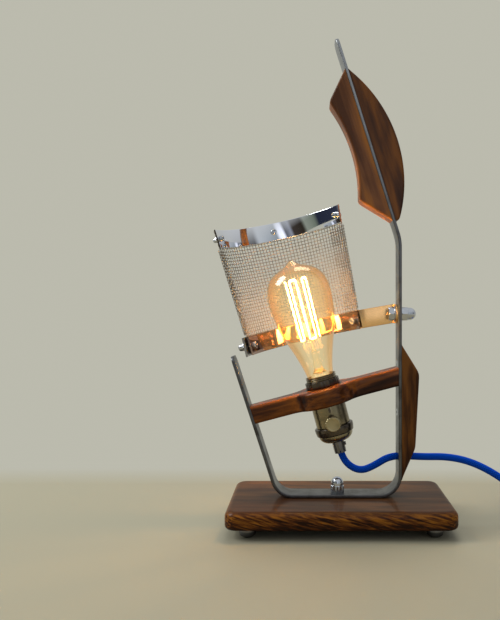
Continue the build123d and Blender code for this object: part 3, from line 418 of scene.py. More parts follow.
def arm_end(z, left):
    """Where the arm meets the bar's inner face, along its own x, at a height of its own frame."""
    a = radians(arm_lean)
    if not left:
        return (post_inner - arm_place[0] + z * sin(a)) / cos(a)
    b = radians(left_lean)
    to_leg = (arm_place[0] - left_heel_x) * cos(b) + (arm_place[2] - bar_z) * sin(b)
    return (bar_thickness / 2 - to_leg - z * sin(b - a)) / cos(b - a)


def arm_outline(inset, z):
    """Plan of the arm: two straight ends that run by hollow arcs into the round boss. The middle of
    each hollow lies where it touches both the end's side and the boss."""
    across = bar_width / 2 + boss_blend
    reach = sqrt((boss_radius + boss_blend) ** 2 - across ** 2)
    meet = atan2(across, reach)
    half = bar_width / 2 - inset
    blend = np.linspace(-pi / 2, meet - pi, 14)
    boss = np.linspace(meet, pi - meet, 42)[1:-1]
    way = np.stack([np.cos(blend), np.sin(blend)], axis=1)
    hollow = (reach, across) + (boss_blend + inset) * way
    crown = (boss_radius - inset) * np.stack([np.cos(boss), np.sin(boss)], axis=1)
    ends = [np.linspace((arm_end(z, left), half), (arm_end(z, left), -half), 7) for left in (False, True)]
    right = np.linspace((arm_end(z, False), half), hollow[0], 6)[:-1]
    left = np.linspace((-reach, half), (arm_end(z, True), half), 6)[1:]
    upper = np.concatenate([right, hollow, crown, hollow[::-1] * (-1, 1), left])
    lower = (upper * (1, -1))[::-1]
    plan = np.concatenate([upper, ends[1][1:-1], lower, ends[0][::-1][1:-1]])
    return np.concatenate([plan, np.full((len(plan), 1), z)], axis=1)


def arm():
    """Arm with round rims and a bore, as one closed surface from the bore out and back."""
    rim, bore_radius = 3.0, neck_radius + 0.2
    t = np.linspace(0, pi / 2, 8)
    rows = [(rim + 0.5, -half_arm)] + [(rim * (1 - sin(a)), -half_arm + rim * (1 - cos(a))) for a in t]
    rows += [(inset, -z) for inset, z in rows[::-1]]
    grid = np.array([arm_outline(inset, z) for inset, z in rows])
    bore = on_circle(bore_radius, np.arctan2(grid[0, :, 1], grid[0, :, 0]), 0.0)
    return skin(np.concatenate([[bore - (0, 0, half_arm)], grid, [bore + (0, 0, half_arm)]]), both=True)


# Lampholder

def holder_body():
    """Neck with a rolled thread, a shoulder under the arm and a straight wall."""
    seat, bore, bore_floor = -half_arm - 0.05, 14.2, -10.4
    thread_radius, thread_depth, thread_pitch, thread_top = 15.0, 0.35, 1.9, 20.3
    z = np.linspace(thread_top, 15.9, 40)
    wave = thread_depth * np.cos((z - thread_top) * 2 * pi / thread_pitch)
    thread = np.stack([thread_radius + wave, z], axis=1)
    inner = softened([(0, bore_floor), (bore, bore_floor), (bore, 20.5)], 0.4)
    outer = [(15.15, 15.7), (15.15, seat), (shell_radius, seat), (shell_radius, -30.5), (0, -30.5)]
    return lathe(np.concatenate([inner, thread, softened(outer, 0.5)]), 120)


def holder_slot_shade():
    """Painted shade for the slot in the body's wall: a black rounded patch, by reach from its middle
    and turn about it, with a face just outside the wall and one in it."""
    half_width, half_height, middle_z, sides = 1.15, 2.5, -13.5, 24
    proud, sunk = 0.05, -0.3
    turn, reaches = np.arange(sides) * 2 * pi / sides, [0.0, 0.5, 1.0, 1.0, 0.5, 0.0]
    reach, turn = np.meshgrid(reaches, turn, indexing="ij")
    out = shell_radius + np.array([proud, proud, proud, sunk, sunk, sunk])[:, None]
    a = half_width / shell_radius * reach * blunt(np.cos(turn), 0.6)
    z = middle_z + half_height * reach * blunt(np.sin(turn), 0.75)
    return skin(on_circle(out, a - pi / 2, z))


def holder_ring():
    """Ring nut with twenty-four fine flutes."""
    low, high, flutes = 8.9, 15.7, 24
    profile = oblong((neck_radius, low), (shell_radius, high), 0.7, 4)
    return lathe(np.concatenate([profile, profile[:1]]), 240, lambda t: 1 - 0.008 * np.cos(flutes * t))


def holder_collar():
    """Dark collar that stands out below the body, with a rolled upper edge."""
    profile = [(0, -30.6), (17.4, -30.6), (19.5, -31.2), (19.4, -34.5), (18.6, -38.6), (17.4, -39.5),
               (0, -39.5)]
    return lathe(softened(profile, 1.2, 5), 120)


def holder_dome():
    """Bowl under the collar that narrows to the cord grip along a quarter of an ellipse."""
    rim, rim_z, neck, deep = 17.1, -39.6, 6.5, 7.9
    t = np.linspace(0, pi / 2, 14)
    bowl = np.stack([neck + (rim - neck) * np.cos(t), rim_z - deep * np.sin(t)], axis=1)
    return lathe(np.concatenate([[(0, rim_z)], bowl, [(0, rim_z - deep)]]), 120)


def knob():
    """Round knob with eighteen flutes and a slightly dished face, its z turned to the front."""
    profile = [(0, 20.0), (5.6, 20.0), (6.4, 21.6), (7.5, 22.2), (7.5, 27.4), (6.6, 28.4), (4.6, 28.1),
               (0, 27.9)]
    knob_z, flutes = -26.0, 18
    fluted = lathe(softened(profile, 0.8, 4), 180, lambda t: 1 - 0.02 * np.cos(flutes * t))
    return held(laid(fluted, (0, 0, knob_z), (0, -1, 0)))


# Bulb

def smooth_line(points, count):
    """Points along a smooth line through all the given ones, by a spline of their chord lengths."""
    p = np.asarray(points, float)
    s = lengths_along(p)
    slope = np.gradient(p, s, axis=0)
    at = np.linspace(0, s[-1], count)
    k = np.clip(np.searchsorted(s, at) - 1, 0, len(s) - 2)
    h = (s[k + 1] - s[k])[:, None]
    t = (at[:, None] - s[k][:, None]) / h
    return ((1 + 2 * t) * (1 - t) ** 2 * p[k] + t * (1 - t) ** 2 * h * slope[k]
            + t * t * (3 - 2 * t) * p[k + 1] + t * t * (t - 1) * h * slope[k + 1])


glass_line = [
    (12.5, 18.0), (13.2, 20.5), (14.4, 27.0), (17.0, 37.0), (20.0, 46.5), (25.3, 61.5), (30.2, 81.0),
    (31.9, 95.0), (31.7, 107.0), (29.4, 117.0), (23.7, 125.5), (15.7, 130.4), (9.0, 133.0), (5.4, 135.6),
    (2.6, 138.2), (0, 138.8),
]


def glass():
    """Pear shaped glass: its outer line turned about the axis, the same drawn in by the wall, and a
    rim that joins them."""
    wall, tip_wall = 0.8, 1.2
    line = smooth_line(glass_line, 90)
    way = unit(np.gradient(line, axis=0))
    inside = line + wall * np.stack([-way[:, 1], way[:, 0]], axis=1)
    inside[:, 0] = np.maximum(inside[:, 0], 0)
    inside[-1] = (0, line[-1, 1] - tip_wall)
    inside[0, 1] = line[0, 1]
    outer, inner, rim = lathe(line, 128), lathe(inside, 128), lathe([line[0], inside[0]], 128)
    return held(together(outer, inner, rim))


def stem():
    """Glass flare, rod and button that carry the wires."""
    profile = [(0, 18.1), (11.0, 18.1), (9.2, 21.0), (4.6, 27.0), (3.4, 38.0), (3.2, 44.0), (1.7, 47.0),
               (1.5, 112.0), (2.6, 114.5), (2.4, 117.0), (0, 117.6)]
    return held(lathe(softened(profile, 2.5, 5), 48))


def filament():
    """Zigzag of ten legs with rounded bends, drawn by arc length and height on a cylinder whose
    radius grows upwards and waves a little."""
    legs, wire, grows, waver = 10, 0.8, 0.9, 0.25
    turn = 2 * pi * (np.arange(legs) + 0.5) / legs
    heights = [filament_low, filament_high, filament_high, filament_low]
    corners = np.stack([np.repeat(turn, 2) * filament_radius, np.tile(heights, legs // 2)], axis=1)
    path = softened(corners, 2.0, 8)
    along = lengths_along(path)
    at = np.linspace(0, along[-1], 900)
    angle, z = np.interp(at, along, path[:, 0]) / filament_radius, np.interp(at, along, path[:, 1])
    share = (z - filament_low) / (filament_high - filament_low)
    radius = filament_radius - grows * (1 - share) + waver * np.sin(z * 0.9)
    middle = on_circle(radius, angle, z)
    way = unit(np.gradient(middle, axis=0))
    up = unit(np.cross(way, on_circle(1.0, angle, 0.0)))
    side = np.cross(up, way)
    return held(wires(middle[None], side[None], up[None], wire, 8))


# Reflector

def cone_radius(height, out=0.0):
    """Radius of the reflector at a height, moved outwards."""
    return cone_low + cone_rate * height + out


def weave(first, sweep, low, high, out, pitch=3.3):
    """Plain weave on the cone between two angles and two heights: upright and level wires that
    pass over and under each other, their middle lines waving outwards and inwards by turns."""
    wave = wire = 0.36
    past_end, short_of_side = 0.4, 0.006
    across = round(sweep * (cone_low + cone_high) / 2 / pitch)
    up_count = round((high - low) / pitch)
    angles = first + sweep * (np.arange(across) + 0.5) / across
    heights = low + (high - low) * (np.arange(up_count) + 0.5) / up_count

    z = np.linspace(low - past_end, high + past_end, 2 * up_count + 1)
    phase = (z - heights[0]) / (heights[1] - heights[0])
    r = cone_radius(z)[None] + out + wave * np.cos(pi * (phase[None] + np.arange(across)[:, None]))
    a = angles[:, None]
    upright = on_circle(r, a, z)
    outward = np.broadcast_to(on_circle(1.0, a, 0.0), upright.shape)
    round_way = np.broadcast_to(on_circle(1.0, a + pi / 2, 0.0), upright.shape)

    b = np.linspace(first + short_of_side, first + sweep - short_of_side, 2 * across + 1)[None]
    phase = (b - angles[0]) / (angles[1] - angles[0])
    h = heights[:, None]
    r = cone_radius(h) + out - wave * np.cos(pi * (phase + np.arange(up_count)[:, None]))
    level = on_circle(r, b, h)
    level_out = np.broadcast_to(on_circle(1.0, b, 0.0), level.shape)
    level_up = np.broadcast_to(np.array([0.0, 0.0, 1.0]), level.shape)
    return together(wires(upright, outward, round_way, wire, 5), wires(level, level_up, level_out, wire, 5))


def woven_cloth():
    """Wire cloth with a denser hem folded outwards along each end, between the strips."""
    first_hem, last_hem = 0.32, 0.2
    hem_low, hem_high, hem_out, hem_pitch = 21.0, 108.0, 3.45, 2.9
    hems = [(first_angle, first_hem), (first_angle + sweep_angle - last_hem, last_hem)]
    parts = [weave(first_angle, sweep_angle, 1.0, 128.0, 1.9)]
    parts += [weave(start, sweep, hem_low, hem_high, hem_out, hem_pitch) for start, sweep in hems]
    return moved(together(*parts), in_reflector)


def strip(low):
    """Polished strip along an edge: its eased section carried round the cone, a little wavy."""
    loop = oblong((0, 0), (strip_thickness, strip_height), 0.5, 3)
    a = np.linspace(first_angle, first_angle + sweep_angle, 150)[:, None]
    wavy = 0.05 * np.sin(7 * a + low) + 0.03 * np.sin(17 * a + 2)
    r = cone_radius(low + loop[None, :, 1], loop[None, :, 0]) + wavy
    return moved(skin(on_circle(r, a, low + loop[None, :, 1]), capped=True), in_reflector)


def hoop_edges():
    """Lower edge, upper edge and outward direction of the hoop, point by point: an arc round the
    lower strip, a straight run to the bar, a quarter turn and a tab with a half round end."""
    clear, past_strip = 2.8, radians(7)
    middle = cone_low + cone_rate * hoop_height + clear + hoop_thickness / 2
    a = np.linspace(first_angle + sweep_angle + past_strip, first_angle, 130)
    out = on_circle(1.0, a, 0.0)
    arc_low, arc_high = in_reflector(middle * out), in_reflector(middle * out + (0, 0, hoop_height))
    arc_side = leaning(out, (0, 0, 0), reflector_lean)

    bend, tab_front = 2.2, -10.0
    tab_x = post_inner - 0.1 - hoop_thickness / 2
    half = hoop_height / 2 / cos(radians(reflector_lean))
    start_x, start_y = tab_x - bend, arc_low[-1, 1]
    share = np.linspace(0, 1, 12)[1:, None]
    run_low = arc_low[-1] + ((start_x, start_y, pivot_z - half) - arc_low[-1]) * share
    run_high = arc_high[-1] + ((start_x, start_y, pivot_z + half) - arc_high[-1]) * share
    run_side = np.tile([0.0, 1.0, 0.0], (len(share), 1))

    turn = np.linspace(0, pi / 2, 9)[1:]
    straight = np.linspace(start_y - bend, tab_front + half, 6)[1:]
    end = np.linspace(0, pi / 2, 14)[1:]
    tab_y = np.concatenate([straight, tab_front + half - (half - 0.15) * np.sin(end)])
    x = np.concatenate([start_x + bend * np.sin(turn), np.full(len(tab_y), tab_x)])
    y = np.concatenate([start_y - bend * (1 - np.cos(turn)), tab_y])
    tall = np.concatenate([np.full(len(turn) + len(straight), half), half * np.cos(end * 0.995)])
    corner_side = np.stack([np.sin(turn), np.cos(turn), 0 * turn], axis=1)
    tab_side = np.tile([1.0, 0.0, 0.0], (len(tab_y), 1))

    low = np.concatenate([arc_low, run_low, np.column_stack([x, y, pivot_z - tall])])
    high = np.concatenate([arc_high, run_high, np.column_stack([x, y, pivot_z + tall])])
    return low, high, np.concatenate([arc_side, run_side, corner_side, tab_side])


def hoop():
    """Band between the hoop's edges: an eased section whose heights are kept from the nearer edge."""
    low, high, side = hoop_edges()
    tall_now = np.linalg.norm(high - low, axis=1)[:, None]
    tall = 19.5
    loop = oblong((-1, 0), (1, tall), 0.5, 3)
    upper = loop[:, 1] > tall / 2
    ease = np.where(upper, tall - loop[:, 1], loop[:, 1])[None]
    share = np.where(upper[None], 1 - ease / tall_now, ease / tall_now)[..., None]
    across = side[:, None] * loop[None, :, :1] * hoop_thickness / 2
    return skin(low[:, None] * (1 - share) + high[:, None] * share + across, capped=True)


rivet_angles = [first_angle + sweep_angle * (k + 0.5) / 11 for k in (0, 5, 10)]


def on_strip(made, angle, out, upper):
    """A small piece set on the upper or lower strip with its z outwards."""
    height = cone_height - strip_height / 2 if upper else strip_height / 2
    r = cone_radius(height)
    way = unit(on_circle(1.0, angle, -cone_rate if upper else 0.0))
    return moved(laid(made, on_circle(r, angle, height) + way * out, way), in_reflector)


def cap_screw(head, tall, socket):
    """Head of a screw with a socket in it, facing down its z."""
    profile = [(0, -0.35 * tall), (socket, -0.35 * tall), (socket, -tall), (head * 0.86, -tall),
               (head, -tall * 0.85), (head, 0), (0, 0)]
    return lathe(softened(profile, 0.25, 3), 48)


def rivets(upper):
    """The three screws of a strip: a socket head inside and a plain shank to the nut."""
    head, tall, shank, length = (2.75, 3.0, 1.5, 6.2) if upper else (3.5, 3.6, 2.0, 12.0)
    out = -0.2 if upper else -0.45
    rod = lathe([(0, 0), (shank, 0), (shank, length), (0, length)], 20)
    one = together(cap_screw(head, tall, head / 2), rod)
    return together(*[on_strip(one, angle, out, upper) for angle in rivet_angles])


def small_nuts(upper):
    """The three domed nuts outside a strip."""
    flats, hexagon, height, out = (5.5, 2.4, 5.6, 2.6) if upper else (8.0, 4.0, 10.2, 5.66)
    crown_radius = flats * 0.45
    crown = dome(crown_radius, height - crown_radius, crown_radius)
    nut = six_sided(flats, hexagon, [(crown_radius, hexagon + 0.05)] + [tuple(p) for p in crown])
    return together(*[on_strip(nut, angle, out, upper) for angle in rivet_angles])


# Domed nuts, pivot bolt, wood screws and washers

pivot_seat = post_inner - hoop_thickness - washer_thickness - 0.2


def large_nuts():
    """The two domed nuts, on the bar's foot and outside the post."""
    hexagon, crown_radius, crown_foot = 7.2, 6.2, 9.3
    crown = dome(crown_radius, crown_foot, crown_radius)
    nut = six_sided(bolt_flats, hexagon, [(6.3, 7.4)] + [tuple(p) for p in crown])
    return together(laid(nut, (bolt_x, 0, board_top + bar_thickness)),
                    laid(nut, (post_outer, 0, pivot_z), (1, 0, 0)))


def pivot_head():
    """Hexagonal head on the inside of the post and its shank through to the nut."""
    tall, rod, length = 5.3, 4.0, 16.6
    head = six_sided(bolt_flats, tall, [(5.2, tall), (0, tall)])
    shank = lathe([(0, 0), (rod, 0), (rod, -length), (0, -length)], 40)
    return laid(together(head, shank), (pivot_seat, 0, pivot_z), (-1, 0, 0))


def wood_screws():
    """Wood screws with low oval heads and a socket: through both legs into the arm's ends, and from
    inside the post into the lower scale."""
    profile = [(0, -1.2), (1.5, -1.2), (1.5, 0.55), (3.0, 0.5), (4.25, 0.1), (4.25, -0.1), (2.25, -2.1),
               (0, -17.0)]
    one = lathe(profile, 40)
    left_z, right_z, palm_top_z, palm_low_z = 106.8, 145.5, 156.5, 109.0
    leg_x, leg_z = slant(left_heel_x, bar_z, left_lean, left_z)
    out = np.array([-cos(radians(left_lean)), 0, -sin(radians(left_lean))])
    heads = [((leg_x, 0, leg_z) + out * bar_thickness / 2, out), ((post_outer, 0, right_z), (1, 0, 0)),
             ((post_inner, 0, palm_top_z), (-1, 0, 0)), ((post_inner, 0, palm_low_z), (-1, 0, 0))]
    return together(*[laid(one, place, way) for place, way in heads])


def washers():
    """Washer under the pivot's head and the one under the board."""
    bore, rim, under_board_z = 4.25, 8.0, 15.3
    ring = oblong((bore, 0), (rim, washer_thickness), 0.4, 3)
    one = lathe(np.concatenate([ring, ring[:1]]), 64)
    return together(laid(one, (pivot_seat, 0, pivot_z), (1, 0, 0)), laid(one, (bolt_x, 0, under_board_z)))


# Finishes

def finish_tree(name, colour, roughness, metal=0.0, **sockets):
    """New material with one Principled shader; returns the material, its nodes and the shader."""
    material = bpy.data.materials.new(name)
    material.use_nodes = True
    tree = material.node_tree
    shader = tree.nodes["Principled BSDF"]
    shader.inputs["Base Color"].default_value = (*colour, 1)
    shader.inputs["Roughness"].default_value = roughness
    shader.inputs["Metallic"].default_value = metal
    for socket, value in sockets.items():
        shader.inputs[socket.replace("_", " ")].default_value = value
    return material, tree, shader


def node(tree, kind, *links, **values):
    """New node with its settings, number sockets and incoming links given as (socket, output)."""
    made = tree.nodes.new(kind)
    for key, value in values.items():
        if key in made.inputs:
            made.inputs[key].default_value = value
        else:
            setattr(made, key, value)
    for socket, output in links:
        tree.links.new(output, made.inputs[socket])
    return made


def sum_of(tree, operation, *terms):
    """Math node over outputs and numbers."""
    made = tree.nodes.new("ShaderNodeMath")
    made.operation = operation
    for socket, term in zip(made.inputs, terms):
        if isinstance(term, (int, float)):
            socket.default_value = term
        else:
            tree.links.new(term, socket)
    return made.outputs[0]


def place_of(tree, scale=(1, 1, 1), turn=(0, 0, 0)):
    """Object coordinates, turned first and then scaled, so that a pattern lies along a piece."""
    where = node(tree, "ShaderNodeTexCoord").outputs["Object"]
    turned = node(tree, "ShaderNodeMapping", ("Vector", where), Rotation=turn)
    return node(tree, "ShaderNodeMapping", ("Vector", turned.outputs[0]), Scale=scale).outputs[0]


def split(tree, vector):
    """The three outputs X, Y and Z of a vector."""
    return node(tree, "ShaderNodeSeparateXYZ", ("Vector", vector)).outputs


def speckle(tree, where, scale, detail=4.0, rough=0.55, distortion=0.0):
    """Noise factor at a place."""
    made = node(tree, "ShaderNodeTexNoise", ("Vector", where), Scale=scale, Detail=detail, Roughness=rough,
                Distortion=distortion)
    return made.outputs[0]


def ramp(tree, factor, *stops):
    """Colour ramp over a factor; each stop is a position and a colour."""
    made = node(tree, "ShaderNodeValToRGB", ("Fac", factor))
    points = made.color_ramp.elements
    while len(points) < len(stops):
        points.new(0.5)
    for point, (position, colour) in zip(points, stops):
        point.position = position
        point.color = (*colour, 1)
    return made.outputs["Color"]


def levels(tree, factor, low, high, to_low=0.0, to_high=1.0):
    """Factor stretched from one range to another."""
    made = node(tree, "ShaderNodeMapRange", ("Value", factor))
    for socket, value in zip(("From Min", "From Max", "To Min", "To Max"), (low, high, to_low, to_high)):
        made.inputs[socket].default_value = value
    return made.outputs["Result"]


def blended(tree, share, first, second):
    """Colour that goes from one to another by a share; either may be an output or a colour."""
    made = node(tree, "ShaderNodeMix", (0, share), data_type="RGBA")
    for socket, colour in ((made.inputs[6], first), (made.inputs[7], second)):
        if isinstance(colour, tuple):
            socket.default_value = (*colour, 1)
        else:
            tree.links.new(colour, socket)
    return made.outputs[2]


def bump(tree, shader, height, distance, strength):
    """Surface relief from a height, as deep as the distance in metres."""
    made = node(tree, "ShaderNodeBump", ("Height", height), Distance=distance, Strength=strength)
    tree.links.new(made.outputs["Normal"], shader.inputs["Normal"])


def varnish(name, colour, shine):
    """Wood shader under a gloss coat, without a colour pattern yet."""
    return finish_tree(name, colour, 0.5, Coat_Weight=shine, Coat_Roughness=0.10, Coat_IOR=1.4,
                       Specular_IOR_Level=0.05)


def varnished_wood(name, dark, middle, light, turn, shine, fine=1.0):
    """Varnished wood: long streaks and a wavy figure along x once the piece is turned, with fine
    pores under a gloss coat."""
    material, tree, shader = varnish(name, middle, shine)
    tree.links.new(grain(tree, dark, middle, light, turn, fine), shader.inputs["Base Color"])
    pores = speckle(tree, place_of(tree, (14, 520, 520), turn), 2.0, 3, 0.6)
    bump(tree, shader, pores, 0.00008, 0.4)
    return material


def grain(tree, dark, middle, light, turn, fine=1.0):
    """Colour of long streaks over soft clouds."""
    streaks = speckle(tree, place_of(tree, (7 * fine, 95 * fine, 95 * fine), turn), 1.7, 6, 0.6, 0.25)
    cloud = speckle(tree, place_of(tree, (5, 20, 20), turn), 2.0, 3, 0.5, 0.6)
    mixed = sum_of(tree, "ADD", sum_of(tree, "MULTIPLY", streaks, 0.8), sum_of(tree, "MULTIPLY", cloud, 1.2))
    return ramp(tree, levels(tree, mixed, 0.72, 1.28), (0.18, dark), (0.50, middle), (0.84, light))


def board_finish():
    """Board's varnish: quiet long grain on top, and slanting amber streaks round its edge, told
    apart by how far the surface faces upwards."""
    material, tree, shader = varnish("board_wood", (0.06, 0.02, 0.006), 0.22)
    top = grain(tree, (0.034, 0.013, 0.005), (0.056, 0.022, 0.007), (0.095, 0.036, 0.010), (0, 0, radians(3)))
    streaks = speckle(tree, place_of(tree, (34, 300, 300), (0, radians(-15), 0)), 1.8, 3, 0.5, 0.3)
    rise = levels(tree, split(tree, place_of(tree))["Z"], 0.009, 0.026, -0.13, 0.12)
    streaks = levels(tree, sum_of(tree, "ADD", streaks, rise), 0.34, 0.72)
    edge = ramp(tree, streaks, (0.10, (0.020, 0.006, 0.002)), (0.42, (0.085, 0.024, 0.004)),
                (0.95, (0.29, 0.105, 0.010)))
    facing = split(tree, node(tree, "ShaderNodeTexCoord").outputs["Normal"])["Z"]
    colour = blended(tree, levels(tree, facing, 0.30, 0.97), edge, top)
    tree.links.new(colour, shader.inputs["Base Color"])
    return material


def bare_metal(name, colour, roughness, drawn=(60, 60, 500), mottle=0.12, stain=None, relief=0.00004,
               painted_light_fade=None):
    """Metal with drawn lines and cloudy patches, which may carry a second, stained colour and fade to
    a third one along an axis, between two places in metres: that fade is painted light."""
    material, tree, shader = finish_tree(name, colour, roughness, 1.0)
    lines = speckle(tree, place_of(tree, drawn), 5.0, 5, 0.6)
    patches = speckle(tree, place_of(tree), 60.0, 5, 0.62)
    low = stain or tuple(c * (1 - mottle) for c in colour)
    high = tuple(min(1.0, c * (1 + mottle)) for c in colour)
    shade = ramp(tree, patches, (0.34, low), (0.50, colour), (0.68, high))
    if painted_light_fade:
        axis, start, end, far = painted_light_fade
        uneven = sum_of(tree, "MULTIPLY", patches, 0.02)
        along = sum_of(tree, "ADD", split(tree, place_of(tree))[axis], uneven)
        shade = blended(tree, levels(tree, along, start, end), shade, far)
    tree.links.new(shade, shader.inputs["Base Color"])
    rough = levels(tree, patches, 0.3, 0.7, roughness * 1.3, roughness * 0.8)
    tree.links.new(rough, shader.inputs["Roughness"])
    bump(tree, shader, lines, relief, 0.35)
    return material


def braided_cloth(name, colour, dark):
    """Braided yarn on the cord's own map: two families of slanting waves make rounded stitches."""
    material, tree, shader = finish_tree(name, colour, 0.8, Specular_IOR_Level=0.08)
    around, along, _ = split(tree, node(tree, "ShaderNodeUVMap", uv_map="along").outputs[0])
    around, along = sum_of(tree, "MULTIPLY", around, 8 * pi), sum_of(tree, "MULTIPLY", along, 9 * pi)
    waves = [sum_of(tree, "SINE", sum_of(tree, way, around, along)) for way in ("ADD", "SUBTRACT")]
    stitch = sum_of(tree, "MULTIPLY", *[sum_of(tree, "ABSOLUTE", wave) for wave in waves])
    fuzz = speckle(tree, place_of(tree), 900.0, 3, 0.6)
    # Painted shade: the yarn darkens to the second colour in the grooves between stitches, with a fuzz of
    # real tone
    shade = sum_of(tree, "ADD", sum_of(tree, "MULTIPLY", stitch, 0.8), sum_of(tree, "MULTIPLY", fuzz, 0.35))
    tree.links.new(ramp(tree, shade, (0.08, dark), (0.75, colour)), shader.inputs["Base Color"])
    bump(tree, shader, stitch, 0.00045, 0.8)
    return material


def clear_glass(name, middle, edge, painted_glow):
    """Thin clear glass, deeper in tint where it is seen edge on, partly its own tint and partly a painted
    warm reflection, with faint drawn streaks and a slight painted glow of the filament's light."""
    material, tree, shader = finish_tree(name, middle, 0.0, Transmission_Weight=1.0, IOR=1.45,
                                         Emission_Color=(1.0, 0.72, 0.28, 1), Emission_Strength=painted_glow)
    rim = node(tree, "ShaderNodeLayerWeight", Blend=0.45).outputs["Facing"]
    # Deeper tint where seen edge on: partly the glass's own tint, partly painted warm reflections along its
    # sides
    tree.links.new(ramp(tree, rim, (0.10, middle), (0.85, edge)), shader.inputs["Base Color"])
    lines = speckle(tree, place_of(tree, (90, 90, 14), (0, radians(arm_lean), 0)), 2.0, 2, 0.5, 0.3)
    bump(tree, shader, lines, 0.00009, 0.3)
    return material


def moulded_plastic(name, colour, worn):
    """Plastic with a fine moulded grain and slightly paler patches."""
    material, tree, shader = finish_tree(name, colour, 0.4)
    patches = speckle(tree, place_of(tree), 90.0)
    tree.links.new(ramp(tree, patches, (0.40, colour), (0.70, worn)), shader.inputs["Base Color"])
    tree.links.new(levels(tree, patches, 0.3, 0.7, 0.48, 0.34), shader.inputs["Roughness"])
    bump(tree, shader, speckle(tree, place_of(tree), 1400.0, 2), 0.00006, 0.5)
    return material


def glowing_metal(name, cool, hot, low, high, strength):
    """Wire that glows, redder near its lower ends than above, between two heights in metres."""
    material, tree, shader = finish_tree(name, (0.3, 0.2, 0.1), 0.5, Emission_Strength=strength)
    share = levels(tree, split(tree, place_of(tree))["Z"], low, high)
    tree.links.new(ramp(tree, share, (0.0, cool), (1.0, hot)), shader.inputs["Emission Color"])
    return material


board_wood = board_finish()
arm_wood = varnished_wood("arm_wood", (0.012, 0.003, 0.002), (0.058, 0.016, 0.004), (0.23, 0.068, 0.009),
                          (0, radians(arm_lean), 0), shine=0.35)
along_grip = (0, radians(-72), 0)
scale_wood = varnished_wood("scale_wood", (0.036, 0.014, 0.007), (0.080, 0.030, 0.011), (0.19, 0.066, 0.013),
                            along_grip, shine=0.2, fine=0.7)
# Painted light: a lighter, more orange copy of the grip wood for the bulb's warm light on the inner scale
painted_bulb_light_wood = varnished_wood("painted_bulb_light_wood", (0.090, 0.034, 0.014), (0.195, 0.075, 0.027), (0.34, 0.125, 0.024),
                            along_grip, shine=0.2, fine=0.55)
palm_wood = varnished_wood("palm_wood", (0.018, 0.006, 0.003), (0.058, 0.020, 0.006), (0.17, 0.062, 0.012),
                           (0, radians(-88), 0), shine=0.15)
# Bar steel: real mill-scale stain, and painted light: it fades to a paler grey towards the top, as if lit
# from above
bar_steel = bare_metal("bar_steel", (0.12, 0.12, 0.118), 0.34, (400, 50, 400), stain=(0.075, 0.068, 0.06),
                       painted_light_fade=("Z", 0.29, 0.50, (0.36, 0.37, 0.37)))
zinc = bare_metal("zinc", (0.55, 0.57, 0.60), 0.18)
# Painted shade: the chrome glides are given a dark colour for the shadow under the board
painted_shade_glide_metal = bare_metal("painted_shade_glide_metal", (0.16, 0.16, 0.17), 0.12, mottle=0.04)
aged_brass = bare_metal("aged_brass", (0.25, 0.205, 0.12), 0.26, stain=(0.11, 0.09, 0.055))
knob_brass = bare_metal("knob_brass", (0.38, 0.31, 0.165), 0.36, stain=(0.20, 0.155, 0.08))
dark_brass = bare_metal("dark_brass", (0.30, 0.26, 0.165), 0.28, stain=(0.13, 0.11, 0.07))
gunmetal = bare_metal("gunmetal", (0.20, 0.19, 0.18), 0.30, mottle=0.25)
black_metal = bare_metal("black_metal", (0.095, 0.078, 0.060), 0.24, mottle=0.3)
contact_brass = bare_metal("contact_brass", (0.72, 0.50, 0.22), 0.28)
wire_steel = bare_metal("wire_steel", (0.30, 0.25, 0.19), 0.42, mottle=0.25)
polished_steel = bare_metal("polished_steel", (0.82, 0.83, 0.85), 0.05, mottle=0.015, relief=0.00001)
# Painted reflection: the lower strip is the upper strip's polished steel, tinted brown for what it reflects
painted_reflection_steel = bare_metal("painted_reflection_steel", (0.42, 0.28, 0.21), 0.018, mottle=0.03, relief=0.00001)
# Painted light: the hoop turns orange towards the bar, a painted glow of the bulb's light on it
bracket_steel = bare_metal("bracket_steel", (0.34, 0.33, 0.32), 0.2,
                           painted_light_fade=("X", -0.03, 0.04, (0.94, 0.56, 0.23)))
fine_wire = bare_metal("fine_wire", (0.45, 0.42, 0.38), 0.3)
# The cord's second colour is its painted shade between the stitches
blue_cloth = braided_cloth("blue_cloth", (0.0005, 0.082, 0.64), (0.0005, 0.028, 0.26))
black_plastic = moulded_plastic("black_plastic", (0.018, 0.018, 0.019), (0.030, 0.030, 0.031))
# Both glasses carry a faint painted glow, standing for the filament's light caught in them
bulb_tint = clear_glass("bulb_tint", (1.0, 0.93, 0.78), (0.92, 0.46, 0.13), 0.042)
stem_glass = clear_glass("stem_glass", (1.0, 0.96, 0.88), (0.95, 0.80, 0.60), 0.04)
hot_wire = glowing_metal("hot_wire", (1.0, 0.44, 0.10), (1.0, 0.61, 0.23), 0.185, 0.215, 110.0)


# Pieces on the frame
piece("board", board(), "frame", board_wood, ["base_board"], sharp=60)
piece("glides", feet(), "frame", painted_shade_glide_metal, ["feet"])
piece("bent_bar", bar(), "frame", bar_steel, ["frame_bar"])
piece("inner_grip_scale", inner_scale(), "frame", painted_bulb_light_wood, ["grip_inner_scale"], sharp=50)
piece("outer_grip_scale", outer_scale(), "frame", scale_wood, ["grip_outer_scale"], sharp=50)
piece("palm_grip_scale", lower_scale(), "frame", palm_wood, ["lower_grip"], sharp=50)
piece("cross_arm", held(arm()), "frame", arm_wood, ["socket_arm"], sharp=50)
piece("domed_nuts", large_nuts(), "frame", zinc, ["cap_nuts"])
piece("pivot_screw", pivot_head(), "frame", zinc, ["pivot_bolt"])
piece("plain_washers", washers(), "frame", zinc, ["washers"])
piece("oval_wood_screws", wood_screws(), "frame", zinc, ["wood_screws"])
piece("holder_body", held(holder_body()), "frame", aged_brass, ["socket_shell"])
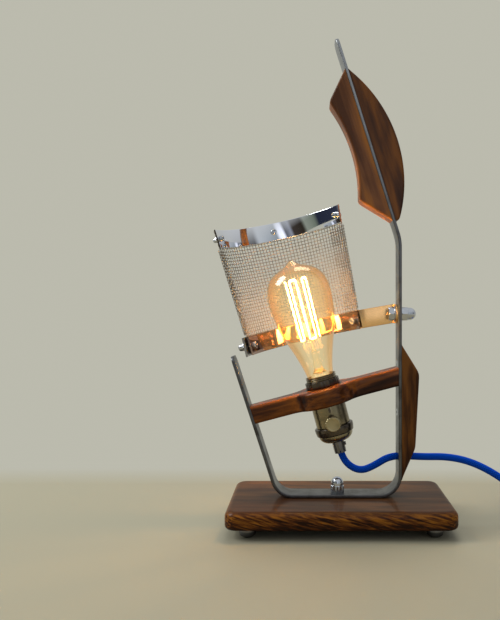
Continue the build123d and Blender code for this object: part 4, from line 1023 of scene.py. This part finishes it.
# Painted shade: a black patch stands for the shade inside the slot
piece("holder_slot_shade", held(holder_slot_shade()), "frame", black_metal)
piece("holder_ring", held(holder_ring()), "frame", black_metal, ["socket_ring"])
piece("holder_collar", held(holder_collar()), "frame", black_metal, ["socket_cap"])
piece("holder_dome", held(holder_dome()), "frame", dark_brass)
piece("holder_knob", knob(), "switch", knob_brass, ["switch_knob"])

# Bulb: the glass lets the wire's light through to the other pieces
bulb_skin = piece("bulb_skin", glass(), "bulb", bulb_tint, ["bulb_glass"])
stem_skin = piece("bulb_flare", stem(), "bulb", stem_glass, ["bulb_stem"])
for clear in (bulb_skin, stem_skin):
    clear.visible_shadow = False
    clear.visible_diffuse = False
wire_skin = piece("glowing_wire", filament(), "bulb", hot_wire, ["filament"], merge=False)
wire_skin.visible_glossy = False

# Reflector
piece("wire_cloth", woven_cloth(), "reflector", wire_steel, ["reflector_cloth"], merge=False,
      sharp=80)
piece("upper_strip", strip(cone_height - strip_height), "reflector", polished_steel,
      ["reflector_top_strip"])
piece("lower_strip", strip(0.0), "reflector", painted_reflection_steel, ["reflector_low_strip"])
piece("upper_screws", rivets(True), "reflector", zinc, ["strip_screws"])
piece("upper_nuts", small_nuts(True), "reflector", zinc, ["strip_nuts"])
piece("lower_screws", rivets(False), "reflector", zinc, ["hoop_screws"])
piece("lower_nuts", small_nuts(False), "reflector", zinc, ["hoop_nuts"])
piece("hoop_band", hoop(), "reflector", bracket_steel, ["bracket_hoop"])

# Cord: its route as the part has it, with the free stretch drawn closer to the picture
cord_thick = 7.0
cord_start = in_holder((0.0, 0.0, -53.0))
coil_x, coil_y, coil_top_z = 232.0, 40.0, 11.3
coil_radius, coil_pitch, coil_rise = 50.8, 7.6, 7.7
free_route = [
    cord_start, in_holder((0.0, 0.0, -63.5)), (10.3, 0.0, 55.0), (21.5, 0.0, 50.4), (33.5, 0.0, 54.6),
    (52.0, 0.0, 66.2), (83.0, 0.0, 64.2), (108.0, -0.3, 64.6), (132.0, -1.2, 59.6), (156.0, -3.0, 47.6),
    (178.0, -5.8, 31.0), (198.0, -10.8, 11.3), (225.0, -10.8, 11.3),
]
tail_route = [(239.0, -10.8, 3.6), (253.0, -10.8, 3.6), (268.0, -17.8, 7.0), (281.0, -29.8, 7.0)]


def coil_route():
    """Six turns about the coil's middle: the radius shrinks by the pitch each turn for three and
    grows back for three, and between them the height drops by one layer along a sine."""
    turns, steps = 6, 16
    turn = np.linspace(0, turns, turns * steps + 1)
    radius = coil_radius - coil_pitch * (turns / 2 - abs(turn - turns / 2))
    drop = 0.5 + 0.5 * np.sin(np.clip((turn - turns / 2) * 4, -1, 1) * pi / 2)
    round_middle = on_circle(radius, 2 * pi * turn - pi / 2, coil_top_z - coil_rise * drop)
    return round_middle + (coil_x, coil_y, 0.0)


def spline_line(points):
    """Points in metres along the NURBS spline of order 3 that has these as its control points."""
    data = bpy.data.curves.new("cord_route", "CURVE")
    data.dimensions = "3D"
    data.resolution_u = 8
    spline = data.splines.new("NURBS")
    spline.points.add(len(points) - 1)
    weighted = np.column_stack([points, np.ones(len(points))])
    spline.points.foreach_set("co", weighted.astype(np.float32).ravel())
    spline.use_endpoint_u = True
    spline.order_u = 3
    holder = bpy.data.objects.new("cord_route", data)
    mesh = bpy.data.meshes.new_from_object(holder)
    line = np.empty(len(mesh.vertices) * 3)
    mesh.vertices.foreach_get("co", line)
    bpy.data.objects.remove(holder)
    bpy.data.meshes.remove(mesh)
    return line.reshape(-1, 3)


def tube(line, radius):
    """Tube along a line, its rings spanned by the level direction across it and the one upwards;
    with its map of turns around and lengths along, counted in circumferences."""
    way = unit(np.gradient(line, axis=0))
    side = unit(np.cross(way, (0.0, 0.0, 1.0)))
    up = np.cross(side, way)
    sides = 14
    turn = np.linspace(0, 2 * pi, sides + 1)
    reach = np.broadcast_to(radius, len(line))[:, None, None]
    ring = side[:, None] * np.cos(turn)[:, None] + up[:, None] * np.sin(turn)[:, None]
    around, far = np.meshgrid(turn / (2 * pi), lengths_along(line) / (pi * cord_thick))
    own_map = np.stack([around, far], axis=-1).reshape(-1, 2)
    return skin(line[:, None] + ring * reach, around=False, capped=True), own_map


whole_route = np.concatenate([free_route, coil_route(), tail_route])
cord_line = spline_line(placed(whole_route))
cord_mm = cord_line * 1000.0 - (board_x, 0.0, 0.0)
print("cord length", round(float(lengths_along(cord_line)[-1]), 4))
cord_made, cord_map = tube(cord_mm, cord_thick / 2)
cord_skin = piece("blue_cord", cord_made, "frame", blue_cloth,
                  ["cord", "cord_coil", "cord_tail"], uv=cord_map, sharp=70)

plug_place = np.array(tail_route[-1])
plug_way = unit(plug_place - tail_route[-2])


def from_plug(points):
    """From the plug's frame: x along the cord, z up, from the end of the cord."""
    p = np.asarray(points, float)
    side = np.cross((0.0, 0.0, 1.0), plug_way)
    return plug_place + p[..., :1] * plug_way + p[..., 1:2] * side + p[..., 2:] * np.array([0.0, 0.0, 1.0])


def plug():
    """Moulded plug: rounded sections whose half width and half height grow from the nose by a
    smooth step, with an eased face."""
    x = np.array([0.0, 0.3, 1.2, 4, 7, 10, 13, 16, 19, 23, 27, 28.8, 29.7, 30.0])
    s = np.clip((x - 5) / 13, 0, 1)
    grow = s * s * (3 - 2 * s)
    end = np.sqrt(np.clip(1 - np.clip((x - 28.2) / 1.8, 0, 1) ** 2, 0, 1))
    start = np.sqrt(np.clip(1 - np.clip((1.4 - x) / 1.4, 0, 1) ** 2, 0, 1))
    ease = 1.8 * (1 - end) + 1.2 * (1 - start)
    wide, tall = 5.2 + 6.7 * grow - ease, 5.4 + 1.5 * grow - ease
    sides = 48
    t = np.arange(sides) * 2 * pi / sides
    y, z = wide[:, None] * blunt(np.cos(t), 0.45), tall[:, None] * blunt(np.sin(t), 0.45)
    return skin(from_plug(np.stack([np.broadcast_to(x[:, None], y.shape), y, z], axis=-1)), capped=True)


def plug_sleeve():
    """Ribbed sleeve behind the plug that narrows along the end of the cord."""
    length, rib_pitch, rib_height = 22.0, 3.4, 0.35
    back = cord_mm[::-1]
    at = np.linspace(-1.5, length, 60)
    line = np.stack([np.interp(at, lengths_along(back), back[:, k]) for k in range(3)], axis=1)
    line[at < 0] = plug_place + at[at < 0, None] * plug_way
    rib = np.where(np.sin(at * 2 * pi / rib_pitch) > 0, rib_height, 0.0)
    return tube(line, 5.3 - 1.5 * np.clip(at / length, 0, 1) + rib)[0]


def tie():
    """Thin band round the coil's section on its far side: a rounded oblong in reach and height,
    once outside and once inside, carried across its width."""
    outer = oblong((26.2, 0.02), (50.4, 15.5), 4.5, 8)
    inner = oblong((26.8, 0.12), (49.8, 14.9), 3.6, 8)
    half = 4.5
    rows = [np.column_stack([np.full(len(edge), coil_x + side), coil_y + edge[:, 0], edge[:, 1]])
            for edge, side in ((outer, -half), (outer, half), (inner, half), (inner, -half))]
    return skin(rows, both=True)


plug_skin = piece("cord_plug", plug(), "frame", black_plastic, ["plug_body"])
relief_skin = piece("cord_relief", plug_sleeve(), "frame", black_plastic)
tie_skin = piece("coil_tie", tie(), "frame", black_plastic)

# Small pieces that stay as the part has them
plain_nodes = {
    "base_bolt": zinc, "grip_pins": zinc, "bulb_contact": zinc,
    "socket_sleeve": contact_brass, "socket_contact": contact_brass, "plug_pins": contact_brass,
    "bulb_cap": contact_brass, "bulb_cap_glass": black_plastic, "filament_supports": fine_wire,
    "cord_grip": gunmetal, "cord_grip_screw": gunmetal, "switch_spindle": aged_brass,
}
for name, finish in plain_nodes.items():
    nodes[name].data.materials.clear()
    nodes[name].data.materials.append(finish)

# Camera: level, square to the bar, at the height of the bulb's crown, its lengths in picture pixels
picture_height, focal_length = 620, 680
shift_right, shift_up = -59.5, -5.0
sensor_width = 36.0
camera_data = bpy.data.cameras.new("camera")
camera = bpy.data.objects.new("camera", camera_data)
bpy.context.scene.collection.objects.link(camera)
camera.location = (-0.0207, -0.680, 0.216)
camera.rotation_euler = (radians(90), 0, 0)
camera_data.sensor_width = sensor_width
camera_data.lens = sensor_width * focal_length / picture_height
camera_data.shift_x = shift_right / picture_height
camera_data.shift_y = shift_up / picture_height
bpy.context.scene.camera = camera


# Stage

wall_tone, ceiling_tone = (0.50, 0.495, 0.42), (0.60, 0.62, 0.64)

# Colours round the room, by degrees to the right of the viewer's back
room_bands = [
    (-180, wall_tone), (-125, (0.50, 0.51, 0.48)), (-106, (0.03, 0.035, 0.06)), (-62, (0.02, 0.025, 0.045)),
    (-54, (0.17, 0.20, 0.16)), (-38, (0.27, 0.30, 0.25)), (-33, (0.03, 0.024, 0.018)),
    (-14, (0.05, 0.04, 0.035)), (-9, (0.30, 0.32, 0.38)), (0, (0.12, 0.13, 0.15)), (4, (1.2, 1.25, 1.45)),
    (10, (1.1, 1.15, 1.3)), (15, (0.30, 0.34, 0.38)), (48, (0.50, 0.54, 0.58)), (56, (0.05, 0.05, 0.055)),
    (68, (0.05, 0.05, 0.055)), (76, (0.30, 0.31, 0.34)), (115, (0.46, 0.47, 0.46)), (180, wall_tone),
]


def seen_share(tree):
    """Two shares of 0 or 1: 1 for what the camera sees straight, through glass or in metal, and 1
    for what it sees straight or through glass alone."""
    path = node(tree, "ShaderNodeLightPath").outputs
    both = sum_of(tree, "MAXIMUM", path["Is Camera Ray"], path["Is Transmission Ray"])
    return sum_of(tree, "MAXIMUM", both, path["Is Glossy Ray"]), both


def stage_floor(name, size, colour):
    """Square floor about the origin. Behind the object and far off it turns to the wall's tone."""
    s = size / 2
    mesh = bpy.data.meshes.new(name)
    mesh.from_pydata([(-s, -s, 0), (s, -s, 0), (s, s, 0), (-s, s, 0)], [], [(0, 1, 2, 3)])
    plane = bpy.data.objects.new(name, mesh)
    bpy.context.scene.collection.objects.link(plane)
    material, tree, shader = finish_tree(name, colour, 0.55, Specular_IOR_Level=0.3)
    where = place_of(tree)
    distance = node(tree, "ShaderNodeVectorMath", (0, where), operation="LENGTH").outputs["Value"]
    behind, far = levels(tree, split(tree, where)["Y"], 0.14, 0.22), levels(tree, distance, 0.45, 1.2)
    beyond = sum_of(tree, "MAXIMUM", behind, far)
    wall = node(tree, "ShaderNodeEmission", Color=(*wall_tone, 1), Strength=1.0)
    share = sum_of(tree, "MULTIPLY", beyond, seen_share(tree)[0])
    mixed = node(tree, "ShaderNodeMixShader", (0, share), (1, shader.outputs[0]), (2, wall.outputs[0]))
    tree.links.new(mixed.outputs[0], tree.nodes["Material Output"].inputs["Surface"])
    plane.data.materials.append(material)


def soft_lamp(name, place, aim, size, power, colour=(1, 1, 1), shown=True):
    """Large light, wide and tall, that faces a point; metal and glass show it or not."""
    data = bpy.data.lights.new(name, "AREA")
    data.shape = "RECTANGLE"
    data.size, data.size_y = size
    data.energy = power
    data.color = colour
    lamp = bpy.data.objects.new(name, data)
    bpy.context.scene.collection.objects.link(lamp)
    lamp.location = place
    lamp.visible_glossy = shown
    lamp.rotation_euler = (Vector(aim) - Vector(place)).to_track_quat("-Z", "Y").to_euler()


def room_world():
    """Soft room light. It goes round with the compass as a room's windows and dark corners do, is
    even towards the ceiling, and shows the camera the plain wall."""
    made = bpy.data.worlds.new("room")
    made.use_nodes = True
    tree = made.node_tree
    x, y, z = split(tree, node(tree, "ShaderNodeTexCoord").outputs["Generated"])
    angle = sum_of(tree, "ARCTAN2", x, sum_of(tree, "MULTIPLY", y, -1.0))
    bands = ramp(tree, levels(tree, angle, -pi, pi), *[((a + 180) / 360, colour) for a, colour in room_bands])
    room = blended(tree, levels(tree, z, 0.20, 0.65), bands, ceiling_tone)
    seen = blended(tree, seen_share(tree)[1], room, wall_tone)
    tree.links.new(seen, tree.nodes["Background"].inputs["Color"])
    return made


stage_floor("floor", 8.0, (0.28, 0.258, 0.18))
soft_lamp("window", (-1.6, 0.0, 1.4), (0, 0, 0.2), (0.85, 1.1), 30, (0.95, 0.98, 1.0))
soft_lamp("ceiling", (0.1, 0.8, 1.7), (0, 0, 0.1), (0.9, 0.9), 18, shown=False)
soft_lamp("front", (-0.7, -1.7, 1.5), (0, 0, 0.2), (1.2, 1.2), 2, shown=False)
bpy.context.scene.world = room_world()
bpy.context.scene.view_settings.view_transform = "Standard"
